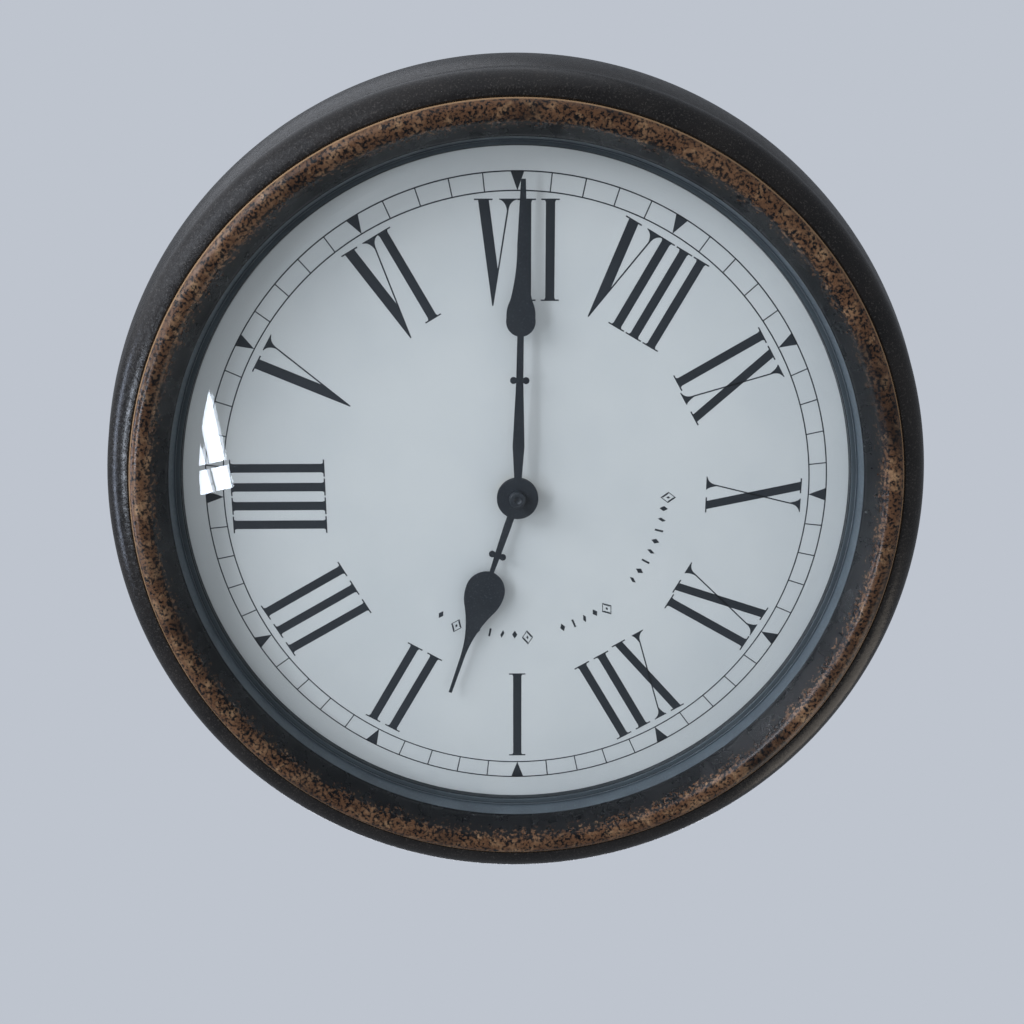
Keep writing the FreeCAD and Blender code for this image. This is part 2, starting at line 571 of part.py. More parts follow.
wheel_piece("minute_wheel", MINUTE, [
    wheel_disc("minute_teeth", "hand_module", to_minute + 180, "minute_foot", "minute_tip"),
    pinion_disc("leaf_count", "hand_module", to_minute + 180, "minute_tip", "minute_leaf_tip"),
    shaft("arbor_tail", "knob_back", "minute_tip"),
    shaft("pivot_radius", "minute_leaf_tip", HIGH_PIVOT)])
wheel_piece("hour_wheel", CENTRE, [
    wheel_disc("hour_teeth", "hand_module", to_minute, "hour_foot", "hour_tip"),
    shaft("pipe_radius", "hour_foot", "pipe_tip")], "arbor_radius + running_play")

# ---------------------------------------------------------------- motor, circuit and setting knob
stator = new_body("stator")
plate = new_sketch(stator, "XY_Plane", "stator_foot")
rectangle(plate, "stator_left", "stator_low", "stator_right", "stator_high")
circle(plate, "stator_hole", ROTOR[0], ROTOR[1])
rectangle(plate, "slot_left", "slot_low", "slot_right", "core_low")
pad(stator, plate, "stator_thick")
finish(stator, "stator")


def primitive(kind, label, **rules):
    """A Part primitive whose properties are bound to rules."""
    solid = doc.addObject(kind, label)
    for name, text in rules.items():
        setattr(solid, name, value(text))
        solid.setExpression(name, rule(text))
    return solid


ALONG_X = FreeCAD.Rotation(FreeCAD.Vector(0, 1, 0), 90)
coil_height = value("(core_low + stator_high)/2")
coil_lift = value("stator_foot + stator_thick/2")
COIL_LEFT = "slot_left + coil_gap"
COIL_LONG = "slot_right - slot_left - 2*coil_gap"
winding = primitive("Part::Cylinder", "winding", Radius="coil_radius", Height=COIL_LONG)
cheeks = []
for start in (COIL_LEFT, "slot_right - coil_gap - coil_cheek"):
    cheek = primitive("Part::Cylinder", "cheek", Radius="coil_flange", Height="coil_cheek")
    cheek.Placement = FreeCAD.Placement(FreeCAD.Vector(value(start), coil_height, coil_lift), ALONG_X)
    cheeks.append(cheek)
winding.Placement = FreeCAD.Placement(FreeCAD.Vector(value(COIL_LEFT), coil_height, coil_lift), ALONG_X)
core = primitive("Part::Box", "core", Length=COIL_LONG, Width="stator_high - core_low", Height="stator_thick")
core.Placement.Base = FreeCAD.Vector(value(COIL_LEFT), value("core_low"), value("stator_foot"))
bobbin = doc.addObject("Part::MultiFuse", "bobbin")
bobbin.Shapes = [winding] + cheeks
coil = doc.addObject("Part::Cut", "coil")
coil.Base = bobbin
coil.Tool = core
finish(coil, "coil")

circuit = new_body("circuit_board")
card = new_sketch(circuit, "XY_Plane", "circuit_foot")
rectangle(card, "circuit_left", "circuit_low", "circuit_right", "circuit_high")
pad(circuit, card, "circuit_thick")
finish(circuit, "circuit_board")

crystal = primitive("Part::Cylinder", "crystal", Radius="crystal_radius", Height="crystal_long")
finish(crystal, "quartz_crystal", value("crystal_across"), 0.0,
       value("circuit_foot + circuit_thick + crystal_radius"), FreeCAD.Rotation(FreeCAD.Vector(1, 0, 0), 90))
chip = primitive("Part::Cone", "chip", Radius1="chip_foot_radius", Radius2="chip_top_radius",
                 Height="chip_height")
finish(chip, "timing_chip", value("chip_across"), value("chip_up"), value("circuit_foot + circuit_thick"))

knob = new_body("setting_knob")
grip = new_sketch(knob, "XY_Plane", "knob_back")
circle(grip, "knob_radius")
circle(grip, "arbor_tail")
pad(knob, grip, "knob_thick")
around(knob, [round_holes(knob, "notch_radius", "knob_back + knob_thick", "knob_thick - knob_base",
                          [("knob_radius + notch_offset", "0")])], "knob_notches")
finish(knob, "setting_knob", value(MINUTE[0]), value(MINUTE[1]))

# ---------------------------------------------------------------- cell and its contacts
cell = turned("battery", [
    ("0", "dish_deep"), ("dish_inner", "dish_deep"), ("dish_outer", "0"),
    ("cell_radius - cell_round", "0", "cell_round", 1), ("cell_radius", "cell_round"),
    ("cell_radius", "cell_long - cell_round", "cell_round", 1),
    ("cell_radius - cell_round", "cell_long"), ("nub_radius", "cell_long"),
    ("nub_radius", "cell_long + nub_long"), ("0", "cell_long + nub_long")])
finish(cell, "battery", value("cell_left"), value("cell_height"), value("cell_forward"), ALONG_X)

# each contact is a leaf against the end wall of the bay, with a boss that faces the cell
for label, wall, leaf_edge, boss_start, reach in (
        ("contact_minus", "-" + INSIDE, "-" + INSIDE, "contact_thick - " + INSIDE, "cell_left - contact_gap"),
        ("contact_plus", INSIDE, INSIDE + " - contact_thick",
         "cell_left + cell_long + nub_long + contact_gap", INSIDE + " - contact_thick")):
    leaf = primitive("Part::Box", "leaf", Length="contact_thick", Width="contact_wide", Height="contact_tall")
    leaf.Placement.Base = FreeCAD.Vector(value(leaf_edge), value("cell_height - contact_wide/2"),
                                         value("cell_forward - contact_tall/2"))
    boss = primitive("Part::Cylinder", "boss", Radius="contact_boss", Height="%s - (%s)" % (reach, boss_start))
    boss.Placement = FreeCAD.Placement(
        FreeCAD.Vector(value(boss_start), value("cell_height"), value("cell_forward")), ALONG_X)
    contact = doc.addObject("Part::MultiFuse", label + "_fuse")
    contact.Shapes = [leaf, boss]
    finish(contact, label)


# ---------------------------------------------------------------- hands
def hand(label, side, bar, bore, lift, angle):
    """A flat hand pointing up: its right-hand side, a crossbar (height, reach of its lobes), a hub."""
    body = new_body(label)
    blade = new_sketch(body, "XY_Plane", lift)
    left = []
    for i in range(len(side) - 1, -1, -1):
        arc = side[i - 1][2:] if i else ()
        left.append(("-(%s)" % side[i][0], side[i][1]) + tuple(arc))
    outline(blade, [tuple(point) for point in side] + left)
    pad(body, blade, "hand_thick")
    height, reach = bar
    for x, radius in (("0", "bar_middle"), ("-" + reach, "bar_end"), (reach, "bar_end")):
        lobe = new_sketch(body, "XY_Plane", lift)
        circle(lobe, radius, x, height)
        pad(body, lobe, "hand_thick")
    hub = new_sketch(body, "XY_Plane", lift)
    circle(hub, "hub_radius")
    pad(body, hub, "hand_thick")
    round_holes(body, bore, lift + " + hand_thick", "hand_thick", [CENTRE])
    finish(body, label, turn=FreeCAD.Rotation(FORWARD, -value(angle)))


hand("hour_hand", [
    ("1.6", "4"), ("1.7", "14"), ("1.35", "28.3"), ("1", "36.6", "9.8", 1), ("9", "46.3", "19", 1),
    ("6.6", "56", "58", -1), ("1", "80"), ("0.75", "98.3")],
    ("28.3", "2.5"), "pipe_radius", "hour_lift", "hour_angle")
hand("minute_hand", [
    ("1.65", "4"), ("1.65", "9"), ("2.6", "23.5"), ("1.55", "52.5"), ("1.4", "71.3", "6.5", 1),
    ("6.15", "79", "14", 1), ("4.6", "86.5", "85", -1), ("2.1", "109"), ("1", "135.5")],
    ("52.5", "2.7"), "arbor_radius", "minute_lift", "minute_angle")

CAP_FOOT = "(minute_lift + hand_thick)"
finish(turned("cap_nut", [
    ("arbor_radius", CAP_FOOT), ("cap_radius", CAP_FOOT),
    ("cap_radius", CAP_FOOT + " + cap_height - cap_round", "cap_round", 1),
    ("cap_radius - cap_round", CAP_FOOT + " + cap_height"),
    ("dimple_radius", CAP_FOOT + " + cap_height", "dimple_arc", -1),
    ("0", CAP_FOOT + " + cap_height - dimple_deep"), ("0", "arbor_tip"), ("arbor_radius", "arbor_tip")]),
    "cap_nut")

# ---------------------------------------------------------------- check and write
doc.recompute()
for item in doc.Objects:
    bad = [word for word in item.State if word in ("Invalid", "Error")]
    assert not bad, "%s failed: %s" % (item.Label, item.State)
assert len({piece.Label for piece in pieces}) == len(pieces), "two pieces share a name"

os.makedirs("parts", exist_ok=True)
for piece in pieces:
    shape = piece.Shape
    assert not shape.isNull() and shape.isValid(), piece.Label + " has no valid shape"
    shape.exportStep(os.path.join("parts", piece.Label + ".step"))
    box = shape.BoundBox
    print("%-18s solids %d  volume %9.1f mm3  box %.1f x %.1f x %.1f" % (
        piece.Label, len(shape.Solids), shape.Volume, box.XLength, box.YLength, box.ZLength))
print(len(pieces), "pieces")
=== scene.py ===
"""Round wall clock: the turned case, domed glass, printed dial, hands and back, dressed for the studio."""

import json
import logging
import math
from dataclasses import dataclass, field
from enum import Enum
from typing import Any

import bmesh
import bpy
from bpy.types import Material, Node, NodeSocket, Object, World
from mathutils import Matrix, Vector


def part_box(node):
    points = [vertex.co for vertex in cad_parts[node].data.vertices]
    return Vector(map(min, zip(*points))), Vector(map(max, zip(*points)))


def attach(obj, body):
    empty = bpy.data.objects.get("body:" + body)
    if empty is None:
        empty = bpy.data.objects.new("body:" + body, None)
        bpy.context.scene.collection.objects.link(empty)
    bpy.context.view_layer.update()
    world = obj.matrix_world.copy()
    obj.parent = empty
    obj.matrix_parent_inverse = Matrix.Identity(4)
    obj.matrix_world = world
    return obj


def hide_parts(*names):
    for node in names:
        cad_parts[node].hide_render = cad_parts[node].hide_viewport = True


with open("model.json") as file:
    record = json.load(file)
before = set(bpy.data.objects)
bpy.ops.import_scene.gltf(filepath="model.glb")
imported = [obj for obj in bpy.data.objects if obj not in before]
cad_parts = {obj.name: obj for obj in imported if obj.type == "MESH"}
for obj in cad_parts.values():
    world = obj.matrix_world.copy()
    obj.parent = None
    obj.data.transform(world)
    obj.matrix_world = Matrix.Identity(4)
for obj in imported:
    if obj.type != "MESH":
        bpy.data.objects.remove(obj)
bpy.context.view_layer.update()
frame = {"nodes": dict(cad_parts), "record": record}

logging.basicConfig(level=logging.INFO, format="%(message)s")
log = logging.getLogger("wall_clock")

MM = 0.001
FULL_TURN = 2 * math.pi
HOURS = 12
MINUTES = 60

Point = tuple[float, float]
Outline = list[Point] | tuple[Point, ...]


# -------------------------------------------- colours and nodes


def linear(hex_colour: str) -> tuple[float, float, float, float]:
    """Turns an sRGB hex colour into linear light.

    Args:
        hex_colour: six hex digits with a leading hash.

    Returns:
        Red, green, blue and an alpha of 1.
    """
    parts = [int(hex_colour[i:i + 2], 16) / 255 for i in (1, 3, 5)]
    red, green, blue = [c / 12.92 if c <= 0.04045 else ((c + 0.055) / 1.055) ** 2.4 for c in parts]
    return red, green, blue, 1.0


def add_node(material: Material | World, kind: str, settings: dict[str, Any] | None = None,
             inputs: dict[str | int, Any] | None = None) -> Node:
    """Adds one shader node with its settings, and its values or links.

    Args:
        material: the material or world that it goes into.
        kind: the node's type without its ShaderNode prefix.
        settings: attributes to set on the node.
        inputs: a value or an output socket for each input, by name or number.

    Returns:
        The new node.
    """
    node = material.node_tree.nodes.new("ShaderNode" + kind)
    for name, value in (settings or {}).items():
        setattr(node, name, value)
    for name, value in (inputs or {}).items():
        if isinstance(value, NodeSocket):
            material.node_tree.links.new(value, node.inputs[name])
        else:
            node.inputs[name].default_value = value
    return node


COLOUR_MIX = {"data_type": "RGBA"}
MIX_FACTOR, MIX_FIRST, MIX_SECOND, MIX_RESULT = 0, 6, 7, 2
NOISE_ROUGHNESS = 0.6
WAVE_SCALE = 1 / math.pi  # makes a wave texture repeat about once a unit


class Spread(Enum):
    """How much of a surface a pattern takes: the noise levels where it starts and is full."""

    FAINT = (0.1, 0.9)
    ROLLING = (0.2, 0.8)
    EVEN = (0.3, 0.7)
    CLOUDY = (0.35, 0.65)
    MOST = (0.28, 0.52)
    HALF = (0.44, 0.62)
    STREAKS = (0.40, 0.70)
    FIBRES = (0.45, 0.75)
    GLINTS = (0.50, 0.78)
    SPECKS = (0.56, 0.74)


def mottle(material: Material, size_mm: float, spread: Spread, detail: float = 2.0,
           stretch: tuple[float, float, float] = (1.0, 1.0, 1.0)) -> NodeSocket:
    """Uneven patches of a real size, from 0 to 1.

    Args:
        material: whose tree gets the pattern.
        size_mm: how far apart the patches are.
        spread: how much of the surface they take.
        detail: octaves of finer noise on the patches.
        stretch: how much shorter the patches are along each axis.

    Returns:
        The pattern's socket.
    """
    low, high = spread.value
    place = add_node(material, "TexCoord").outputs["Object"]
    scaled = add_node(material, "Mapping", inputs={"Vector": place, "Scale": stretch}).outputs["Vector"]
    noise = add_node(material, "TexNoise", inputs={
        "Vector": scaled, "Scale": 1 / (size_mm * MM), "Detail": detail,
        "Roughness": NOISE_ROUGHNESS})
    return add_node(material, "MapRange", {"interpolation_type": "SMOOTHSTEP"}, {
        "Value": noise.outputs["Fac"], "From Min": low, "From Max": high}).outputs["Result"]


def radius_band(material: Material, start_mm: float, end_mm: float, wander: NodeSocket,
                wander_mm: float) -> NodeSocket:
    """A soft ring about the arbor axis, 0 inside start_mm and 1 outside end_mm.

    Args:
        material: whose tree gets the ring.
        start_mm: radius where the ring begins.
        end_mm: radius where the ring is full.
        wander: pattern that makes the ring's edge wander.
        wander_mm: how far it wanders.

    Returns:
        The ring's socket.
    """
    place = add_node(material, "TexCoord").outputs["Object"]
    flat = add_node(material, "VectorMath", {"operation": "MULTIPLY"}, {0: place, 1: (1, 0, 1)})
    radius = add_node(material, "VectorMath", {"operation": "LENGTH"}, {0: flat.outputs["Vector"]})
    moved = add_node(material, "Math", {"operation": "MULTIPLY_ADD"}, {
        0: wander, 1: wander_mm * MM, 2: radius.outputs["Value"]})
    return add_node(material, "MapRange", {"interpolation_type": "SMOOTHSTEP"}, {
        "Value": moved.outputs["Value"], "From Min": start_mm * MM,
        "From Max": end_mm * MM}).outputs["Result"]


@dataclass(frozen=True)
class Finish:
    """What every finish has: its name, colours in sRGB, and how rough it is."""

    name: str
    colour: str
    second: str
    rough: float
    rough_spread: float = 0.08
    metallic: float = 0.0

    def begin(self) -> tuple[Material, Node]:
        """Makes the material with its shader.

        Returns:
            The material and its Principled shader.
        """
        material = bpy.data.materials.new(self.name)
        material.use_nodes = True
        material.node_tree.nodes.clear()
        shader = add_node(material, "BsdfPrincipled", inputs={"Metallic": self.metallic})
        add_node(material, "OutputMaterial", inputs={"Surface": shader.outputs["BSDF"]})
        material.diffuse_color = linear(self.colour)
        return material, shader

    def roughen(self, material: Material, shader: Node, pattern: NodeSocket) -> None:
        """Lets the roughness follow a pattern.

        Args:
            material: the finish's material.
            shader: its Principled shader.
            pattern: 0 where the surface is smoothest.
        """
        rough = add_node(material, "MapRange", inputs={
            "Value": pattern, "To Min": self.rough - self.rough_spread,
            "To Max": self.rough + self.rough_spread})
        material.node_tree.links.new(rough.outputs["Result"], shader.inputs["Roughness"])

    def emboss(self, material: Material, shader: Node, layers: list[tuple[NodeSocket, float]]) -> None:
        """Adds relief, one layer over another.

        Args:
            material: the finish's material.
            shader: its Principled shader.
            layers: each layer's height pattern and its depth in millimetres.
        """
        below: dict[str, Any] = {}
        for height, depth_mm in layers:
            bump = add_node(material, "Bump", inputs={"Height": height, "Distance": depth_mm * MM, **below})
            below = {"Normal": bump.outputs["Normal"]}
        material.node_tree.links.new(below["Normal"], shader.inputs["Normal"])

    def blend(self, material: Material, factor: NodeSocket, first: Any, second: Any) -> NodeSocket:
        """Lays one colour over another by a pattern.

        Args:
            material: the finish's material.
            factor: 0 where the first colour shows.
            first: sRGB hex or a colour socket.
            second: sRGB hex or a colour socket.

        Returns:
            The mixed colour's socket.
        """
        first, second = [linear(c) if isinstance(c, str) else c for c in (first, second)]
        return add_node(material, "Mix", COLOUR_MIX, {
            MIX_FACTOR: factor, MIX_FIRST: first, MIX_SECOND: second}).outputs[MIX_RESULT]

    def colour_with(self, material: Material, shader: Node, colour: NodeSocket) -> None:
        """Links a colour to the shader's base colour."""
        material.node_tree.links.new(colour, shader.inputs["Base Color"])

    def dress(self, material: Material, shader: Node, tint: NodeSocket, gloss: NodeSocket,
              relief: NodeSocket, depth_mm: float) -> Material:
        """Sets the two colours, the roughness and the relief, each by its own pattern."""
        self.colour_with(material, shader, self.blend(material, tint, self.colour, self.second))
        self.roughen(material, shader, gloss)
        self.emboss(material, shader, [(relief, depth_mm)])
        return material


@dataclass(frozen=True)
class SprayedPaint(Finish):
    """Satin lacquer sprayed on resin or steel: an even skin with a fine peel and a few dust specks.

    The peel and the longer wave under it break the highlights up, so that they wobble.
    """

    speck: str = "#3b3733"
    peel_mm: float = 1.6
    peel_depth_mm: float = 0.035
    wave_mm: float = 9.0
    wave_depth_mm: float = 0.07
    speck_mm: float = 0.8

    def build(self) -> Material:
        """Builds the material."""
        material, shader = self.begin()
        cloud = mottle(material, self.wave_mm * 2, Spread.CLOUDY)
        specks = mottle(material, self.speck_mm, Spread.SPECKS, detail=1.0)
        peel = mottle(material, self.peel_mm, Spread.ROLLING)
        wave = mottle(material, self.wave_mm, Spread.ROLLING, detail=0.0)
        base = self.blend(material, cloud, self.colour, self.second)
        self.colour_with(material, shader, self.blend(material, specks, base, self.speck))
        self.roughen(material, shader, peel)
        self.emboss(material, shader, [(wave, self.wave_depth_mm), (peel, self.peel_depth_mm)])
        return material


@dataclass(frozen=True)
class SlatePaintWithPaintedShade(SprayedPaint):
    """Satin slate lacquer on the wall, and painted shade: a dark line on the ledge round the glass, standing
    for the shadow under the glass's edge.
    """

    # painted shade: the dark colour of the ledge under the glass's edge, standing for shadow there
    line: str = "#11171c"
    line_start_mm: float = 150.7
    line_end_mm: float = 151.1

    def build(self) -> Material:
        """Builds the material."""
        material = super().build()
        shader = next(n for n in material.node_tree.nodes if n.type == "BSDF_PRINCIPLED")
        paint = shader.inputs["Base Color"].links[0].from_socket
        wander = mottle(material, self.wave_mm, Spread.ROLLING)
        # paints the shade: the ledge inside the band's start radius takes the dark painted-shade colour
        wall = radius_band(material, self.line_start_mm, self.line_end_mm, wander, 0.0)
        self.colour_with(material, shader, self.blend(material, wall, self.line, paint))
        return material


@dataclass(frozen=True)
class RubbedBronze(Finish):
    """Bronze wax rubbed over black lacquer: warm patches, umber between them and black pits.

    The wax stays on the crown of the bead and frays out to bare black towards the glass. A lighter gold
    line on the outer edge is a painted highlight. The pits are really about 0.4 mm and are drawn coarser,
    so that they show.
    """

    umber: str = "#24160e"
    gold: str = "#a3825f"
    black: str = "#090b0e"
    wax_start_mm: float = 155.6
    wax_end_mm: float = 157.0
    wander_mm: float = 4.4
    patch_mm: float = 46.0
    streak_mm: float = 12.0
    pit_mm: float = 1.3
    fray_mm: float = 1.69
    streak_depth_mm: float = 0.03
    pit_depth_mm: float = 0.015
    # painted highlight: a lighter gold line on the bead's outer shoulder next to the groove
    edge_start_mm: float = 164.0
    edge_end_mm: float = 164.7

    def build(self) -> Material:
        """Builds the material."""
        material, shader = self.begin()
        patches = mottle(material, self.patch_mm, Spread.MOST, detail=3.0)
        streaks = mottle(material, self.streak_mm, Spread.STREAKS, detail=5.0)
        glints = mottle(material, self.streak_mm / 2, Spread.GLINTS, detail=4.0)
        pits = mottle(material, self.pit_mm, Spread.HALF, detail=3.0)
        wander = mottle(material, self.fray_mm, Spread.EVEN, detail=3.0)
        wax = radius_band(material, self.wax_start_mm + self.wander_mm / 2,
                          self.wax_end_mm + self.wander_mm / 2, wander, self.wander_mm)
        warm = self.blend(material, streaks, self.colour, self.second)
        warm = self.blend(material, glints, warm, self.gold)
        warm = self.blend(material, patches, self.umber, warm)
        warm = self.blend(material, pits, warm, self.black)
        # paints the highlight: gold over the narrow band at the bead's outer edge
        edge = radius_band(material, self.edge_start_mm, self.edge_end_mm, wander, 0.0)
        warm = self.blend(material, edge, warm, self.gold)
        self.colour_with(material, shader, self.blend(material, wax, self.black, warm))
        self.roughen(material, shader, streaks)
        self.emboss(material, shader, [(streaks, self.streak_depth_mm), (pits, -self.pit_depth_mm)])
        return material


@dataclass(frozen=True)
class ClearGlass(Finish):
    """Slumped soda-lime glass: clear and polished, with the faint waviness that slumping leaves."""

    index: float = 1.5
    wave_mm: float = 70.0
    wave_depth_mm: float = 0.10

    def build(self) -> Material:
        """Builds the material."""
        material, shader = self.begin()
        shader.inputs["Base Color"].default_value = linear(self.colour)
        shader.inputs["Roughness"].default_value = self.rough
        shader.inputs["IOR"].default_value = self.index
        shader.inputs["Transmission Weight"].default_value = 1.0
        wave = mottle(material, self.wave_mm, Spread.FAINT, detail=0.0)
        self.emboss(material, shader, [(wave, self.wave_depth_mm)])
        return material


@dataclass(frozen=True)
class PrintedSheet(Finish):
    """Off-white coated sheet or the ink on it: a fine leathery tooth under a satin film.

    The tooth is really about 0.3 mm and is drawn coarser, so that it shows.
    """

    tooth_mm: float = 0.9
    tooth_depth_mm: float = 0.012
    cloud_mm: float = 60.0

    def build(self) -> Material:
        """Builds the material."""
        material, shader = self.begin()
        cloud = mottle(material, self.cloud_mm, Spread.EVEN, detail=3.0)
        tooth = mottle(material, self.tooth_mm, Spread.EVEN)
        return self.dress(material, shader, cloud, tooth, tooth, self.tooth_depth_mm)


@dataclass(frozen=True)
class Moulded(Finish):
    """Injection-moulded plastic or rubber: even colour, a spark-eroded grain and faint flow marks.

    The grain is really about 0.2 mm and is drawn coarser, so that it shows.
    """

    grain_mm: float = 0.7
    grain_depth_mm: float = 0.02
    flow_mm: float = 18.0

    def build(self) -> Material:
        """Builds the material."""
        material, shader = self.begin()
        flow = mottle(material, self.flow_mm, Spread.EVEN, stretch=(1.0, 1.0, 0.3))
        grain = mottle(material, self.grain_mm, Spread.EVEN)
        return self.dress(material, shader, flow, grain, grain, self.grain_depth_mm)


@dataclass(frozen=True)
class Plated(Finish):
    """Metal with a thin skin or a turned face: fine tool lines, and dull clouds where it has aged."""

    line_mm: float = 0.35
    line_depth_mm: float = 0.006
    cloud_mm: float = 5.0

    def build(self) -> Material:
        """Builds the material."""
        material, shader = self.begin()
        cloud = mottle(material, self.cloud_mm, Spread.CLOUDY, detail=4.0)
        lines = mottle(material, self.line_mm, Spread.EVEN, stretch=(0.08, 0.08, 1.0))
        return self.dress(material, shader, cloud, cloud, lines, self.line_depth_mm)


@dataclass(frozen=True)
class PressedBoard(Finish):
    """Pressed fibreboard: a smooth hard face with short fibres lying all ways."""

    fibre_mm: float = 2.4
    fibre_depth_mm: float = 0.03

    def build(self) -> Material:
        """Builds the material."""
        material, shader = self.begin()
        along = mottle(material, self.fibre_mm, Spread.FIBRES, detail=5.0, stretch=(1.0, 1.0, 0.25))
        across = mottle(material, self.fibre_mm, Spread.FIBRES, detail=5.0, stretch=(0.25, 1.0, 1.0))
        flecks = add_node(material, "Math", {"operation": "MAXIMUM"}, {0: along, 1: across}).outputs["Value"]
        return self.dress(material, shader, flecks, flecks, flecks, self.fibre_depth_mm)


@dataclass(frozen=True)
class Winding(Finish):
    """Enamelled copper wire wound in close turns, drawn coarser than the real 0.05 mm so that it shows."""

    turn_mm: float = 0.4
    turn_depth_mm: float = 0.05
    unevenness: float = 0.4

    def build(self) -> Material:
        """Builds the material."""
        material, shader = self.begin()
        place = add_node(material, "TexCoord").outputs["Object"]
        wave = add_node(material, "TexWave", {"bands_direction": "X"}, {
            "Vector": place, "Scale": WAVE_SCALE / (self.turn_mm * MM), "Distortion": self.unevenness})
        turns = wave.outputs["Fac"]
        self.colour_with(material, shader, self.blend(material, turns, self.second, self.colour))
        self.roughen(material, shader, turns)
        self.emboss(material, shader, [(turns, self.turn_depth_mm)])
        return material


class Look(Enum):
    """The record's material slots, each with its finish."""

    CASE_PAINT = SprayedPaint("case_paint", "#191716", "#211e1c", 0.25)
    BRONZE_PAINT = RubbedBronze("bronze_paint", "#62442e", "#7c5a3e", 0.33, 0.08, metallic=0.1)
    SLATE_PAINT = SlatePaintWithPaintedShade("slate_paint", "#505a60", "#485157", 0.40, speck="#5b686f",
                              wave_depth_mm=0.03)
    CLEAR_GLASS = ClearGlass("clear_glass", "#fcfefd", "#fcfefd", 0.0)
    BLACK_RUBBER = Moulded("black_rubber", "#17181a", "#1f2021", 0.62, grain_depth_mm=0.03)
    DIAL_PAINT = PrintedSheet("dial_paint", "#dfe1de", "#d8dbd9", 0.46)
    HARDBOARD = PressedBoard("hardboard", "#7a5a3c", "#4f3823", 0.60)
    BOARD_PAINT = PressedBoard("board_paint", "#232221", "#33302c", 0.66)
    ZINC_STEEL = Plated("zinc_steel", "#c9cbc7", "#a9aba6", 0.34, metallic=1.0)
    HAND_ENAMEL = SprayedPaint("hand_enamel", "#20252b", "#272b30", 0.42, speck="#3a4046",
                               wave_depth_mm=0.02, peel_depth_mm=0.015)
    BRASS = Plated("brass", "#d6b36a", "#b18f4c", 0.30, metallic=1.0)
    HOUSING_PLASTIC = Moulded("housing_plastic", "#1d1e20", "#242527", 0.52)
    GEAR_PLASTIC = Moulded("gear_plastic", "#e6e1d2", "#dcd6c4", 0.38, grain_depth_mm=0.004)
    ARBOR_PLASTIC = Moulded("arbor_plastic", "#34353a", "#2c2d31", 0.40, grain_depth_mm=0.004)
    SILICON_STEEL = Plated("silicon_steel", "#8e9396", "#767b7e", 0.42, metallic=1.0)
    COPPER_WIRE = Winding("copper_wire", "#b8602f", "#6d3116", 0.30, metallic=1.0)
    CIRCUIT_GREEN = Moulded("circuit_green", "#1d5a30", "#17492a", 0.36, grain_mm=1.2)
    EPOXY = Moulded("epoxy", "#131416", "#1a1b1d", 0.22, grain_mm=4.0)
    CELL_WRAP = Plated("cell_wrap", "#5b5f66", "#50545b", 0.30, metallic=0.6, line_depth_mm=0.002)
    CONTACT_NICKEL = Plated("contact_nickel", "#d3cfc4", "#bab6aa", 0.22, metallic=1.0)
    KNOB_PLASTIC = Moulded("knob_plastic", "#d9d8d2", "#cfcec6", 0.44)


class Extra(Enum):
    """Finishes that have no slot of their own: the glass's channel, the dial's ink and the floor."""

    GREY_RUBBER = Moulded("grey_rubber", "#4b5459", "#434b50", 0.50, grain_depth_mm=0.02)
    INK = PrintedSheet("dial_ink", "#262b30", "#2b3036", 0.40, tooth_depth_mm=0.006)
    FLOOR = PrintedSheet("studio_floor", "#d2d3d4", "#cfd0d1", 0.80, tooth_mm=4.0)


MADE: dict[str, Material] = {}


def dressed_in(choice: Look | Extra) -> Material:
    """The material of a finish, built once.

    Args:
        choice: which finish.

    Returns:
        Its material.
    """
    finish = choice.value
    if finish.name not in MADE:
        MADE[finish.name] = finish.build()
    return MADE[finish.name]


# -------------------------------------------- shapes

EASE_STEPS = 4


class Side(Enum):
    """Which side of its chord an arc bulges to, going along it."""

    LEFT = 1
    RIGHT = -1


@dataclass
class Line:
    """An outline drawn point by point in millimetres."""

    points: Outline = field(default_factory=list)

    def to(self, *corners: Point) -> "Line":
        """Adds straight runs to the corners."""
        self.points.extend(corners)
        return self

    def arc(self, end: Point, radius: float, side: Side, steps: int = 16) -> "Line":
        """Adds an arc of up to half a circle from the last point.

        Args:
            end: where the arc ends.
            radius: its radius.
            side: the side of the chord that it bulges to.
            steps: how many runs it is drawn with.

        Returns:
            The line itself.
        """
        start = Vector(self.points[-1])
        chord = Vector(end) - start
        left = Vector((-chord.y, chord.x)).normalized()
        rise = math.sqrt(max(radius ** 2 - (chord.length / 2) ** 2, 0.0))
        centre = start + chord / 2 - left * rise * side.value
        first = start - centre
        swept = -side.value * 2 * math.asin(min(chord.length / 2 / radius, 1.0))
        for step in range(1, steps + 1):
            angle = swept * step / steps
            cos, sin = math.cos(angle), math.sin(angle)
            self.points.append((centre.x + first.x * cos - first.y * sin,
                                centre.y + first.x * sin + first.y * cos))
        return self


def on_dial(x: float, up: float, level: float) -> Vector:
    """A point given in millimetres towards III, towards XII and forward of the wall, in metres."""
    return Vector((x, -level, up)) * MM


def clockwise(angle: float, corners: Outline) -> Outline:
    """Turns an outline drawn under XII clockwise to an angle."""
    cos, sin = math.cos(angle), math.sin(angle)
    return [(x * cos + up * sin, up * cos - x * sin) for x, up in corners]


